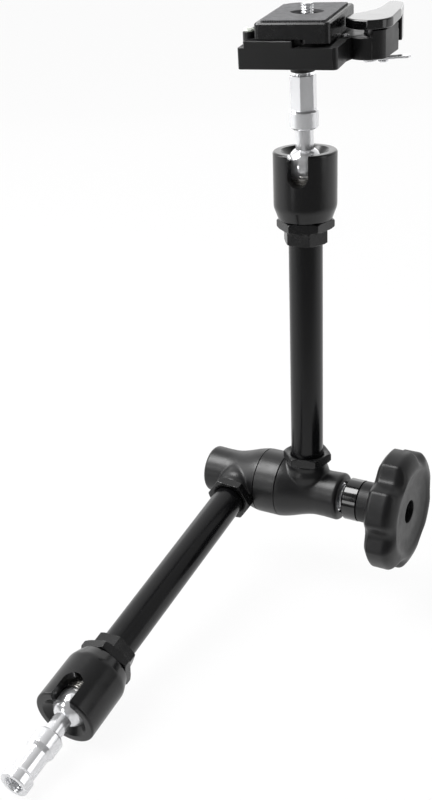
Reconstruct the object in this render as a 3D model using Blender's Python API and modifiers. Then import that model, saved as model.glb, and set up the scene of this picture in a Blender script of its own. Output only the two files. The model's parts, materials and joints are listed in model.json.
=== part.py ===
"""Articulating friction arm: two tubes on a clamped elbow, a slotted ball socket at each free end,
a 5/8 inch spigot below and a quick-release camera clamp above. One knob locks all three joints."""

import math

import bmesh
import bpy
from mathutils import Matrix, Vector

MM = 0.001
CLEAR = 0.3 * MM  # gap left between pieces that seat on each other
SEAM = 0.35 * MM  # dark line between the elbow castings and the ring
SIDES_LARGE = 20
SIDES_MEDIUM = 16
SIDES_SMALL = 12

# Pose of the two tubes
ELBOW_ANGLE = math.radians(102.1)  # angle between the two tubes
ARM_SPACING = 41.8 * MM  # distance between the tube axes, along the hinge
BALL_DISTANCE = 199.5 * MM  # hinge axis to ball centre
LOWER_SLOT_ANGLE = math.radians(6.0)  # socket slot, turned from the arm's upper side to +X
UPPER_SLOT_ANGLE = math.radians(11.3)  # socket slot, turned from -Y to +X
UPPER_TILT = math.radians(3.9)  # lean of the upper ball stem into its slot
CLAMP_TURN = math.radians(10.0)

# Tubes and push rods
TUBE_RADIUS = 9.525 * MM
TUBE_WALL = 1.9 * MM
TUBE_START = 13.0 * MM  # inner end of the tube, from the hinge axis
TUBE_GRIP = 3.5 * MM  # length of tube inside the socket bush
ROD_RADIUS = 4.0 * MM
ROD_TIP_RADIUS = 1.5 * MM
ROD_TIP_LENGTH = 2.5 * MM
GUIDE_WIDTH = 6.0 * MM
GUIDE_PLACES = (0.3, 0.72)  # places of the rod guides, as shares of the tube's length

# Elbow
RING_RADIUS = 19.9 * MM
RING_WIDTH = 14.2 * MM
DISC_INNER = 11.4 * MM
DISC_OUTER = 18.2 * MM
DISC_THICKNESS = 0.85 * MM
SHOULDER_RADIUS = 20.0 * MM
WAIST_RADIUS = 14.1 * MM
END_RADIUS = 14.5 * MM
END_ROUND = 2.2 * MM
ELBOW_HALF_LENGTH = 45.0 * MM
FLARE_START = 4.0 * MM  # where the flare would begin, from the elbow's mid-plane
FLARE_LENGTH = 28.0 * MM
WAIST_LENGTH = 4.0 * MM
BOSS_RADIUS = 12.2 * MM
BOSS_FLARE = 1.1 * MM
MAIN_BORE = 10.2 * MM
BORE_DEPTH = 35.0 * MM  # from the elbow's mid-plane
KEY_FLATS = 10.0 * MM  # hexagonal tail of the spindle
KEY_DEPTH = 6.6 * MM
KEY_TRAVEL = 1.8 * MM  # free length behind the key, taken up as the knob is loosened
COUNTERBORE_RADIUS = 9.6 * MM
COUNTERBORE_DEPTH = 3.2 * MM
TUBE_NUT_FLATS = 25.4 * MM
TUBE_NUT_HEIGHT = 5.5 * MM
LOWER_NUT_TURN = math.radians(-5.4)
UPPER_NUT_TURN = math.radians(14.2)

# Spindle, wedges and the parts on them
SPINDLE_RADIUS = 5.0 * MM
SPINDLE_COLLAR_RADIUS = 7.5 * MM
SPINDLE_COLLAR_WIDTH = 3.0 * MM
SPINDLE_GRIP = 35.0 * MM  # length of spindle beyond the washers, inside the knob
WEDGE_HALF_LENGTH = 7.0 * MM
WEDGE_RADIUS = 9.7 * MM
WEDGE_SLOPE = 0.25
SLEEVE_RADIUS = 8.0 * MM  # thrust sleeve of the upper wedge
CENTRE_SLEEVE_LENGTH = 22.0 * MM
CENTRE_SLEEVE_WALL = 1.6 * MM
SPRING_WIRE = 0.9 * MM
SPRING_TURNS = 5
THRUST_WASHER_RADIUS = 8.9 * MM
THRUST_WASHER_THICKNESS = 1.6 * MM
SPRING_WASHER_RADIUS = 8.1 * MM
SPRING_WASHER_THICKNESS = 2.6 * MM
SPRING_WASHER_SPLIT = 1.4 * MM
KNOB_WASHER_RADIUS = 8.6 * MM
KNOB_WASHER_THICKNESS = 0.9 * MM

# Knob
HUB_RADIUS = 12.6 * MM
HUB_LENGTH = 9.2 * MM
HUB_SLEEVE_RADIUS = 8.4 * MM
HUB_SLEEVE_LENGTH = 26.0 * MM
HUB_CHAMFER = 0.9 * MM
KNOB_RADIUS = 36.7 * MM
KNOB_NECK_LENGTH = 8.0 * MM
KNOB_THICKNESS = 31.0 * MM
KNOB_EDGE_ROUND = 7.0 * MM
KNOB_LOBES = 7
POINTS_PER_LOBE = 7
KNOB_TURN = math.radians(-11.4)
KNOB_VALLEY_SHARE = 0.62  # width of a valley, as a share of the pitch
KNOB_VALLEY_DEPTH = 4.4 * MM
KNOB_DISH_RADIUS = 24.0 * MM
KNOB_DISH_DEPTH = 4.6 * MM
KNOB_HOLE_RADIUS = 6.75 * MM

# Slotted sockets, measured from the ball centre along the tube axis, outwards
BALL_RADIUS = 10.2 * MM
NECK_RADIUS = 4.95 * MM
SOCKET_RADIUS = 17.5 * MM
SOCKET_RIM = 8.0 * MM
SOCKET_RIM_ROUND = 1.2 * MM
SOCKET_MOUTH_RADIUS = 13.2 * MM
SOCKET_LIP = 4.3 * MM
SOCKET_TAPER_TOP = -22.3 * MM
SOCKET_BOTTOM = -29.3 * MM
SOCKET_BOTTOM_RADIUS = 14.9 * MM
SLOT_WIDTH = 11.4 * MM
SLOT_ARC_DROP = 3.2 * MM  # centre of the slot's round end, below the ball centre
SEAT_LENGTH = 9.0 * MM
SEAT_EDGE = 5.6 * MM
SEAT_HOLE = 2.6 * MM
SEAT_WASHER_THICKNESS = 2.0 * MM
THREAD_RADIUS = 11.5 * MM  # threaded neck of the socket bush
PLUG_LENGTH = 10.0 * MM  # plug of the bush inside the tube
JAM_NUT_FLATS = 28.0 * MM
JAM_NUT_HEIGHT = 5.3 * MM
BUSH_FLATS = 22.4 * MM
BUSH_HEIGHT = 7.8 * MM
JAM_NUT_TURN = math.radians(20.0)
BUSH_TURN = math.radians(4.0)

# Stems
COLLAR_RADIUS = 7.9375 * MM
COLLAR_START = 20.2 * MM
UPPER_COLLAR_LENGTH = 10.0 * MM
HEX_FLATS = 12.7 * MM
HEX_TOP = 48.2 * MM
HEX_TURN = math.radians(-17.5)
STEP_RADIUS = 4.0 * MM
STEP_HEIGHT = 1.3 * MM
STUD_RADIUS = 3.175 * MM
STUD_LENGTH = 9.5 * MM
STEM_CHAMFER = 1.0 * MM
SPIGOT_STUD_RADIUS = 3.9 * MM
SPIGOT_STUD_LENGTH = 11.0 * MM
SPIGOT_COLLAR_LENGTH = 9.2 * MM
SPIGOT_WAIST_RADIUS = 6.65 * MM
SPIGOT_WAIST_LENGTH = 17.0 * MM
SPIGOT_SHOULDER = 2.6 * MM
SPIGOT_FLANGE_LENGTH = 5.9 * MM
SPIGOT_THREAD_RADIUS = 5.0 * MM
SPIGOT_THREAD_DEPTH = 12.0 * MM

# Camera clamp, in its own frame: U to the right, W to the back, Z up from the ball centre
BASE_LEFT = -25.8 * MM
BASE_RIGHT = 25.5 * MM
BASE_HALF_DEPTH = 28.6 * MM
BASE_BOTTOM = 56.6 * MM
BASE_TOP = 67.4 * MM
WALL_TOP = 70.6 * MM
WALL_LEFT = -22.6 * MM
WALL_RIGHT = 2.7 * MM
WALL_THICKNESS = 4.2 * MM
BASE_BOSS_RADIUS = 6.5 * MM
STUD_HOLE_DEPTH = 11.0 * MM
JAW_HALF_LENGTH = 16.0 * MM
JAW_TOP = 75.0 * MM
JAW_HOOK = 1.2 * MM
JAW_HOOK_HEIGHT = 1.4 * MM
LEVER_PIVOT = (34.0 * MM, 6.0 * MM)
LOBE_RADIUS = 12.4 * MM
LOBE_BACK = 25.0 * MM
TOWER_TOP = 70.8 * MM
TOWER_START = 36.0 * MM
PLATE_LEFT = -17.6 * MM
PLATE_RIGHT = 21.3 * MM
PLATE_HALF_DEPTH = 26.6 * MM
PLATE_THICKNESS = 7.9 * MM
PLATE_EDGE = 0.7 * MM
PLATE_CORNER = 2.5 * MM
RAIL_START = 6.5 * MM
RAIL_HEIGHT = 2.2 * MM
PAD_MARGIN = 2.8 * MM
PAD_THICKNESS = 1.6 * MM
PAD_POCKET = 1.0 * MM
PAD_CORNER = 7.0 * MM
RECESS_HALF_LENGTH = 9.0 * MM
RECESS_HALF_WIDTH = 6.5 * MM
RECESS_DEPTH = 3.6 * MM
SCREW_RADIUS = 3.175 * MM
SCREW_PLACE = (3.5 * MM, -1.5 * MM)
SCREW_TOP = 84.0 * MM
SCREW_HEAD_RADIUS = 7.0 * MM
SCREW_HEAD_HEIGHT = 2.2 * MM
COIN_SLOT = 1.6 * MM
LEVER_THICKNESS = 4.9 * MM
LEVER_HEAD_RADIUS = 12.3 * MM
LEVER_REACH = 42.0 * MM
LEVER_ARM_WIDTH = 8.6 * MM
LEVER_EDGE = 0.6 * MM
CAM_RELIEF = 0.8 * MM
TAB_BOTTOM = 58.5 * MM
TAB_THICKNESS = 4.0 * MM
TAB_LENGTH = 9.5 * MM
PIVOT_PIN_RADIUS = 3.0 * MM
PIN_HEAD_RADIUS = 3.9 * MM
PIN_HEAD_HEIGHT = 3.0 * MM
PIN_COVER = 1.2 * MM  # lever left above the end of its pin
SAFETY_PIVOT = (41.2 * MM, 4.6 * MM)
SAFETY_TURN = math.radians(20.0)
SAFETY_EYE_RADIUS = 2.9 * MM
SAFETY_THICKNESS = 1.2 * MM
SAFETY_REACH = 17.5 * MM
SAFETY_WIDTH = 5.0 * MM
RIVET_RADIUS = 1.6 * MM
RIVET_HEAD_RADIUS = 2.7 * MM
RIVET_HEAD_HEIGHT = 1.4 * MM
RIVET_DEPTH = 5.0 * MM
LEVEL_MARGIN = (3.6 * MM, 9.6 * MM)  # from the body's left and front sides
LEVEL_RADIUS = 3.2 * MM
LEVEL_TOP = 73.6 * MM
LEVEL_STEM_RADIUS = 1.9 * MM
LEVEL_DEPTH = 4.0 * MM
TRIGGER_PLACE = (22.8 * MM, -1.0 * MM)
TRIGGER_RADIUS = 2.0 * MM
TRIGGER_DEPTH = 7.0 * MM
PLUNGER_LENGTH = 4.0 * MM
PLUNGER_WIRE = 0.3 * MM

# Places that follow from the sizes above
HALF_SPACING = ARM_SPACING / 2
BOSS_LENGTH = SHOULDER_RADIUS  # the boss ends level with the shoulder, so that the nut clears it
LEVEL_PLACE = (BASE_LEFT + LEVEL_MARGIN[0], LEVEL_MARGIN[1] - BASE_HALF_DEPTH)
HOUSING_FACE = RING_WIDTH / 2 + SEAM
BUSH_TOP = BALL_DISTANCE + SOCKET_BOTTOM - CLEAR - JAM_NUT_HEIGHT - CLEAR
BUSH_BOTTOM = BUSH_TOP - BUSH_HEIGHT
TUBE_END = BUSH_BOTTOM + TUBE_GRIP
NUT_BOTTOM = BOSS_LENGTH + CLEAR
WEDGE_MID_RADIUS = WEDGE_RADIUS - WEDGE_SLOPE * WEDGE_HALF_LENGTH
ROD_START = WEDGE_MID_RADIUS + WEDGE_SLOPE * ROD_TIP_RADIUS + CLEAR
SEAT_BOTTOM = -SEAT_EDGE - SEAT_LENGTH
NECK_TOP = SEAT_BOTTOM - SEAT_WASHER_THICKNESS - 2 * CLEAR
ROD_END = BALL_DISTANCE + SEAT_BOTTOM - CLEAR
ROD_HOLE = ROD_RADIUS + CLEAR
WASHER_START = HALF_SPACING + ELBOW_HALF_LENGTH - COUNTERBORE_DEPTH + CLEAR
SPRING_WASHER_START = WASHER_START + THRUST_WASHER_THICKNESS + CLEAR
KNOB_WASHER_START = SPRING_WASHER_START + SPRING_WASHER_THICKNESS + CLEAR
HUB_START = KNOB_WASHER_START + KNOB_WASHER_THICKNESS + CLEAR
HUB_END = HUB_START + HUB_LENGTH
GRIP_START = HUB_END + CLEAR
STAR_START = GRIP_START + KNOB_NECK_LENGTH
STAR_END = STAR_START + KNOB_THICKNESS
SLEEVE_END = HUB_END + HUB_SLEEVE_LENGTH
SPINDLE_END = HUB_START + SPINDLE_GRIP
SPIGOT_END = (COLLAR_START + SPIGOT_COLLAR_LENGTH + SPIGOT_WAIST_LENGTH + SPIGOT_FLANGE_LENGTH)
STEP_TOP = HEX_TOP + STEP_HEIGHT
BOSS_BOTTOM = STEP_TOP + CLEAR
PLATE_BOTTOM = WALL_TOP + CLEAR
PLATE_TOP = PLATE_BOTTOM + PLATE_THICKNESS
PLATE_MIDDLE = (PLATE_LEFT + PLATE_RIGHT) / 2
LEVER_BOTTOM = TOWER_TOP + CLEAR
LEVER_TOP = LEVER_BOTTOM + LEVER_THICKNESS
SAFETY_TOP = BASE_BOTTOM - CLEAR

# Frames: the origin is the centre of the spigot's end face
LOWER_ARM = Matrix.Rotation(ELBOW_ANGLE, 4, "X")
ARM_REACH = BALL_DISTANCE + SPIGOT_END
ELBOW = -(LOWER_ARM @ Vector((0, 0, ARM_REACH)))
LOWER_FRAME = Matrix.Translation(ELBOW) @ LOWER_ARM
UPPER_FRAME = Matrix.Translation(ELBOW + Vector((ARM_SPACING, 0, 0)))
HINGE_FRAME = Matrix.Translation(ELBOW) @ Matrix.Rotation(math.pi / 2, 4, "Y")
LOWER_BALL_FRAME = LOWER_FRAME @ Matrix.Translation((0, 0, BALL_DISTANCE))
TILT_AXIS = Vector((math.cos(UPPER_SLOT_ANGLE), math.sin(UPPER_SLOT_ANGLE), 0))
UPPER_CENTRE_FRAME = UPPER_FRAME @ Matrix.Translation((0, 0, BALL_DISTANCE))
UPPER_BALL_FRAME = UPPER_CENTRE_FRAME @ Matrix.Rotation(UPPER_TILT, 4, TILT_AXIS)
CLAMP_FRAME = UPPER_BALL_FRAME @ Matrix.Rotation(CLAMP_TURN, 4, "Z")
LEVER_FRAME = CLAMP_FRAME @ Matrix.Translation((*LEVER_PIVOT, 0))
SAFETY_FRAME = CLAMP_FRAME @ Matrix.Translation((*SAFETY_PIVOT, 0))


FINISHES = {
    "chrome": ((0.80, 0.81, 0.83), 0.10, 1.0),
    "steel": ((0.52, 0.53, 0.55), 0.30, 1.0),
    "paint": ((0.018, 0.018, 0.019), 0.35, 0.0),
    "gloss": ((0.012, 0.012, 0.013), 0.15, 0.0),
    "anodised": ((0.020, 0.020, 0.022), 0.28, 0.6),
    "rubber": ((0.020, 0.020, 0.021), 0.60, 0.0),
    "pad": ((0.045, 0.045, 0.047), 0.75, 0.0),
    "bronze": ((0.55, 0.38, 0.20), 0.40, 1.0),
    "lining": ((0.16, 0.14, 0.12), 0.80, 0.0),
    "polymer": ((0.70, 0.69, 0.65), 0.45, 0.0),
    "vial": ((0.75, 0.85, 0.60), 0.08, 0.0),
}


def clear_scene():
    """Remove every object that the scene holds."""
    for obj in list(bpy.data.objects):
        bpy.data.objects.remove(obj, do_unlink=True)


def new_collection(name):
    """Make a collection and link it to the scene."""
    collection = bpy.data.collections.new(name)
    bpy.context.scene.collection.children.link(collection)
    return collection


clear_scene()
PARTS = new_collection("articulating_friction_arm")
CUTTERS = new_collection("cutters")


def make_material(name, finish):
    """Give one sub-part its own Principled material."""
    colour, roughness, metallic = FINISHES[finish]
    material = bpy.data.materials.new(f"{name}_{finish}")
    material.use_nodes = True
    shader = material.node_tree.nodes["Principled BSDF"]
    shader.inputs["Base Color"].default_value = (*colour, 1.0)
    shader.inputs["Roughness"].default_value = roughness
    shader.inputs["Metallic"].default_value = metallic
    return material


def make_pivot(name, frame):
    """Make an empty that carries the pieces of one moving body."""
    pivot = bpy.data.objects.new(name, None)
    pivot.empty_display_size = 10 * MM
    pivot.matrix_world = frame
    PARTS.objects.link(pivot)
    return pivot


def place(name, mesh, pivot, finish, matrix):
    """Put a mesh under its pivot, as a sub-part if it has a finish and as a cutter if not."""
    obj = bpy.data.objects.new(name, mesh)
    if finish is None:
        CUTTERS.objects.link(obj)
        obj.hide_render = True
        obj.display_type = "WIRE"
    else:
        PARTS.objects.link(obj)
        mesh.materials.append(make_material(name, finish))
    obj.parent = pivot
    obj.matrix_basis = matrix if matrix is not None else Matrix()
    mesh.shade_smooth()
    mesh.set_sharp_from_angle(angle=math.radians(32))
    return obj


def place_bmesh(name, shape, pivot, finish, matrix):
    """Turn a bmesh into a placed object."""
    mesh = bpy.data.meshes.new(name)
    shape.to_mesh(mesh)
    shape.free()
    return place(name, mesh, pivot, finish, matrix)


def drum(name, pivot, radius, bottom, top, finish=None, matrix=None, sides=SIDES_LARGE, turn=0.0):
    """Make an upright cylinder, or a prism when it has few sides."""
    shape = bmesh.new()
    middle = Matrix.Translation((0, 0, (bottom + top) / 2)) @ Matrix.Rotation(turn, 4, "Z")
    bmesh.ops.create_cone(shape, cap_ends=True, segments=sides, radius1=radius, radius2=radius,
                          depth=top - bottom, matrix=middle)
    return place_bmesh(name, shape, pivot, finish, matrix)


def hexagon(name, pivot, flats, bottom, top, turn=0.0, finish=None, matrix=None):
    """Make a hexagonal prism, with a corner at the angle turn from its X axis."""
    corner = flats / math.sqrt(3)
    return drum(name, pivot, corner, bottom, top, finish, matrix, 6, turn + math.pi / 2)


def block(name, pivot, low, high, finish=None, matrix=None):
    """Make a box between two opposite corners."""
    shape = bmesh.new()
    low = Vector(low)
    high = Vector(high)
    size = Matrix.Diagonal((*(high - low), 1.0))
    bmesh.ops.create_cube(shape, size=1.0, matrix=Matrix.Translation((low + high) / 2) @ size)
    return place_bmesh(name, shape, pivot, finish, matrix)


def turned(name, pivot, profile, finish=None, matrix=None, sides=SIDES_LARGE, closed=False):
    """Turn a profile of (radius, height) about Z; it runs down the outer side."""
    shape = bmesh.new()
    corners = [shape.verts.new((radius, 0, height)) for radius, height in profile]
    pairs = list(zip(corners, corners[1:]))
    if closed:
        pairs.append((corners[-1], corners[0]))
    for pair in pairs:
        shape.edges.new(pair)
    obj = place_bmesh(name, shape, pivot, finish, matrix)
    screw = obj.modifiers.new("Turn", "SCREW")
    screw.steps = sides
    screw.render_steps = sides
    screw.use_merge_vertices = True
    screw.merge_threshold = 0.00001
    return obj


def slab(name, pivot, outline, bottom, top, finish=None, edge=0.0, matrix=None):
    """Raise a flat outline between two heights, with rounded edges where edge is given."""
    curve = bpy.data.curves.new(name, "CURVE")
    curve.dimensions = "2D"
    curve.fill_mode = "BOTH"
    curve.extrude = (top - bottom) / 2 - edge
    curve.bevel_depth = edge
    curve.bevel_resolution = 1
    curve.offset = -edge
    spline = curve.splines.new("POLY")
    spline.points.add(len(outline) - 1)
    for point, (across, along) in zip(spline.points, outline):
        point.co = (across, along, 0, 1)
    spline.use_cyclic_u = True
    guide = bpy.data.objects.new(name + "_outline", curve)
    CUTTERS.objects.link(guide)
    guide.location = (0, 0, (bottom + top) / 2)
    bpy.context.view_layer.update()
    evaluated = guide.evaluated_get(bpy.context.evaluated_depsgraph_get())
    shape = bmesh.new()
    shape.from_mesh(bpy.data.meshes.new_from_object(evaluated))
    bmesh.ops.transform(shape, matrix=guide.matrix_world, verts=shape.verts)
    bmesh.ops.remove_doubles(shape, verts=shape.verts, dist=0.000002)
    bpy.data.objects.remove(guide, do_unlink=True)
    return place_bmesh(name, shape, pivot, finish, matrix)


def lofted(name, pivot, rings, finish=None, matrix=None):
    """Join rings of points into one skin that runs round through them all, back to the first."""
    shape = bmesh.new()
    loops = [[shape.verts.new(point) for point in ring] for ring in rings]
    count = len(rings[0])
    for loop, following in zip(loops, loops[1:] + loops[:1]):
        for index in range(count):
            after = (index + 1) % count
            shape.faces.new((loop[index], loop[after], following[after], following[index]))
    bmesh.ops.recalc_face_normals(shape, faces=shape.faces)
    return place_bmesh(name, shape, pivot, finish, matrix)


def coil(name, pivot, radius, wire, bottom, top, turns, finish, matrix=None, steps=10):
    """Wind a compression spring whose ends lie within the two heights."""
    curve = bpy.data.curves.new(name, "CURVE")
    curve.dimensions = "3D"
    curve.bevel_depth = wire
    curve.bevel_resolution = 1
    curve.use_fill_caps = True
    spline = curve.splines.new("POLY")
    count = turns * steps
    spline.points.add(count)
    for index, point in enumerate(spline.points):
        angle = 2 * math.pi * index / steps
        height = bottom + wire + (top - bottom - 2 * wire) * index / count
        point.co = (radius * math.cos(angle), radius * math.sin(angle), height, 1)
    guide = bpy.data.objects.new(name + "_line", curve)
    CUTTERS.objects.link(guide)
    bpy.context.view_layer.update()
    evaluated = guide.evaluated_get(bpy.context.evaluated_depsgraph_get())
    shape = bmesh.new()
    shape.from_mesh(bpy.data.meshes.new_from_object(evaluated))
    bmesh.ops.remove_doubles(shape, verts=shape.verts, dist=0.000002)
    bpy.data.objects.remove(guide, do_unlink=True)
    return place_bmesh(name, shape, pivot, finish, matrix)


def combine(part, tool, operation):
    """Add one Boolean step to a sub-part."""
    step = part.modifiers.new(tool.name, "BOOLEAN")
    step.operation = operation
    step.solver = "EXACT"
    step.object = tool


def cut(part, *tools):
    """Cut the tools away from the sub-part."""
    for tool in tools:
        combine(part, tool, "DIFFERENCE")


def fuse(part, *tools):
    """Cast the tools in one with the sub-part."""
    for tool in tools:
        combine(part, tool, "UNION")


def keep(part, tool):
    """Keep only what lies inside the tool."""
    combine(part, tool, "INTERSECT")


def arc(centre, radius, start, end, count):
    """List points along an arc, its angles in degrees."""
    points = []
    for index in range(count + 1):
        angle = math.radians(start + (end - start) * index / count)
        points.append((centre[0] + radius * math.cos(angle), centre[1] + radius * math.sin(angle)))
    return points


def rounded_box(left, right, front, back, corner, count=4):
    """List the outline of a rectangle with round corners."""
    points = []
    points += arc((right - corner, front + corner), corner, -90, 0, count)
    points += arc((right - corner, back - corner), corner, 0, 90, count)
    points += arc((left + corner, back - corner), corner, 90, 180, count)
    points += arc((left + corner, front + corner), corner, 180, 270, count)
    return points


def chamfer_tool(name, pivot, flats, bottom, top):
    """Make the double cone that trims the corners of a hexagon."""
    over = 0.5 * MM
    slope = math.tan(math.radians(30))
    inner = 0.985 * flats / 2 - over / slope
    outer = 1.25 * flats / 2
    drop = (outer - inner) * slope
    profile = [(0, top + over), (inner, top + over), (outer, top + over - drop),
               (outer, bottom - over + drop), (inner, bottom - over), (0, bottom - over)]
    return turned(name, pivot, profile, sides=SIDES_SMALL)


def washer(name, pivot, inner, outer, bottom, top, finish, matrix=None, sides=SIDES_SMALL):
    """Make a flat ring or a short bush."""
    profile = [(outer, top), (outer, bottom), (inner, bottom), (inner, top)]
    return turned(name, pivot, profile, finish, matrix, sides, closed=True)


def nut(name, pivot, flats, bottom, top, bore, turn, finish):
    """Make a hexagon nut with trimmed corners and a countersunk outer face."""
    body = hexagon(name, pivot, flats, bottom, top, turn, finish)
    keep(body, chamfer_tool(name + "_chamfer", pivot, flats, bottom, top))
    sink = 1.0 * MM
    profile = [(0, top + sink), (bore + 1.6 * MM, top + sink), (bore + 1.6 * MM, top - sink / 2),
               (bore, top - sink), (bore, bottom - sink), (0, bottom - sink)]
    cut(body, turned(name + "_bore", pivot, profile))
    return body


def flare_radius(distance):
    """Give the casting's radius at a distance from the elbow's mid-plane."""
    share = min(max((distance - FLARE_START) / FLARE_LENGTH, 0.0), 1.0)
    return WAIST_RADIUS + (SHOULDER_RADIUS - WAIST_RADIUS) * (1 + math.cos(math.pi * share)) / 2


def side_matrix(side):
    """Place the hinge axis in an arm's frame; side is -1 for the lower arm, 1 for the upper."""
    middle = Matrix.Translation((-side * HALF_SPACING, 0, 0))
    return middle @ Matrix.Rotation(side * math.pi / 2, 4, "Y")


def housing(prefix, pivot, side):
    """Cast one half of the elbow, with the boss that holds its tube."""
    matrix = side_matrix(side)
    name = prefix + "_housing"
    end = ELBOW_HALF_LENGTH
    profile = [(0, end)]
    corner = END_RADIUS - END_ROUND
    profile += [(radius, height) for radius, height in arc((corner, end - END_ROUND), END_ROUND, 90, 0, 3)]
    profile.append((WAIST_RADIUS, FLARE_START + FLARE_LENGTH + WAIST_LENGTH))
    steps = 6
    for index in range(steps + 1):
        distance = FLARE_START + FLARE_LENGTH * (1 - index / steps)
        profile.append((flare_radius(max(distance, HOUSING_FACE)), max(distance, HOUSING_FACE)))
    profile.append((0, HOUSING_FACE))
    body = turned(name, pivot, profile, "paint", matrix)
    boss = [(0, BOSS_LENGTH), (BOSS_RADIUS - 0.5 * MM, BOSS_LENGTH),
            (BOSS_RADIUS, BOSS_LENGTH - 0.5 * MM), (BOSS_RADIUS, BOSS_LENGTH - 2.5 * MM),
            (BOSS_RADIUS + BOSS_FLARE / 3, BOSS_LENGTH - 4.5 * MM),
            (BOSS_RADIUS + BOSS_FLARE, BOSS_LENGTH - 7.0 * MM), (BOSS_RADIUS + BOSS_FLARE, 0), (0, 0)]
    fuse(body, turned(name + "_boss", pivot, boss))
    bore_end = BORE_DEPTH
    cut(body, drum(name + "_bore", pivot, MAIN_BORE, -5 * MM, bore_end, matrix=matrix))
    cut(body, drum(name + "_tube_hole", pivot, TUBE_RADIUS + CLEAR, TUBE_START - CLEAR,
                   BOSS_LENGTH + 5 * MM))
    cut(body, drum(name + "_rod_hole", pivot, ROD_HOLE, 0, TUBE_START, sides=SIDES_SMALL))
    if side < 0:
        cut(body, hexagon(name + "_key", pivot, KEY_FLATS + 2 * CLEAR, bore_end - MM,
                          bore_end + KEY_DEPTH, matrix=matrix))
    else:
        floor = end - COUNTERBORE_DEPTH
        cut(body, drum(name + "_sleeve_hole", pivot, SLEEVE_RADIUS + CLEAR, bore_end - MM,
                       end + MM, matrix=matrix))
        cut(body, drum(name + "_washer_seat", pivot, COUNTERBORE_RADIUS, floor, end + MM,
                       matrix=matrix))
    return body


def push_rod(prefix, pivot):
    """Turn the rod that carries the wedge's push to the ball seat."""
    profile = [(0, ROD_END), (ROD_RADIUS - 0.8 * MM, ROD_END), (ROD_RADIUS, ROD_END - 0.8 * MM),
               (ROD_RADIUS, ROD_START + ROD_TIP_LENGTH), (ROD_TIP_RADIUS, ROD_START), (0, ROD_START)]
    turned(prefix + "_push_rod", pivot, profile, "steel", sides=SIDES_SMALL)


def arm(prefix, pivot, side, nut_turn):
    """Build one tube with its nuts, its socket bush and the guides for its rod."""
    housing(prefix, pivot, side)
    nut(prefix + "_tube_nut", pivot, TUBE_NUT_FLATS, NUT_BOTTOM, NUT_BOTTOM + TUBE_NUT_HEIGHT,
        TUBE_RADIUS + CLEAR, nut_turn, "paint")
    tube_inner = TUBE_RADIUS - TUBE_WALL
    washer(prefix + "_tube", pivot, tube_inner, TUBE_RADIUS, TUBE_START, TUBE_END, "anodised",
           sides=SIDES_LARGE)
    for number, share in enumerate(GUIDE_PLACES, 1):
        middle = TUBE_START + (TUBE_END - TUBE_START) * share
        washer(f"{prefix}_rod_guide_{number}", pivot, ROD_HOLE, tube_inner - CLEAR,
               middle - GUIDE_WIDTH / 2, middle + GUIDE_WIDTH / 2, "polymer")
    socket_bush(prefix, pivot, tube_inner)
    jam_bottom = BUSH_TOP + CLEAR
    nut(prefix + "_jam_nut", pivot, JAM_NUT_FLATS, jam_bottom, jam_bottom + JAM_NUT_HEIGHT,
        THREAD_RADIUS + CLEAR, JAM_NUT_TURN, "paint")


def socket_bush(prefix, pivot, tube_inner):
    """Join the tube to its socket: a hexagon, a plug inside the tube and a threaded neck."""
    name = prefix + "_socket_bush"
    body = hexagon(name, pivot, BUSH_FLATS, BUSH_BOTTOM, BUSH_TOP, BUSH_TURN, "paint")
    keep(body, chamfer_tool(name + "_chamfer", pivot, BUSH_FLATS, BUSH_BOTTOM, BUSH_TOP))
    neck_top = BALL_DISTANCE + NECK_TOP
    plug = tube_inner - CLEAR
    relief = BUSH_FLATS / 2 - 0.4 * MM
    neck = [(0, neck_top), (THREAD_RADIUS - 0.7 * MM, neck_top), (THREAD_RADIUS, neck_top - 0.7 * MM),
            (THREAD_RADIUS, BUSH_TOP + 1.2 * MM), (relief, BUSH_TOP + 0.6 * MM), (relief, BUSH_TOP - MM),
            (plug, BUSH_TOP - MM), (plug, BUSH_BOTTOM - PLUG_LENGTH), (0, BUSH_BOTTOM - PLUG_LENGTH)]
    fuse(body, turned(name + "_neck", pivot, neck))
    groove = [(TUBE_RADIUS + CLEAR, TUBE_END + CLEAR), (TUBE_RADIUS + CLEAR, BUSH_BOTTOM - MM),
              (plug, BUSH_BOTTOM - MM), (plug, TUBE_END + CLEAR)]
    cut(body, turned(name + "_groove", pivot, groove, closed=True))
    cut(body, drum(name + "_hole", pivot, ROD_HOLE, BUSH_BOTTOM - PLUG_LENGTH - MM, neck_top + MM,
                   sides=SIDES_SMALL))


def ball_arc(radius, top, bottom, count):
    """List the (radius, height) points of a ball between two heights, from the top down."""
    start = math.asin(top / radius)
    end = math.asin(bottom / radius)
    points = []
    for index in range(count + 1):
        angle = start + (end - start) * index / count
        points.append((radius * math.cos(angle), radius * math.sin(angle)))
    return points


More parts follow.
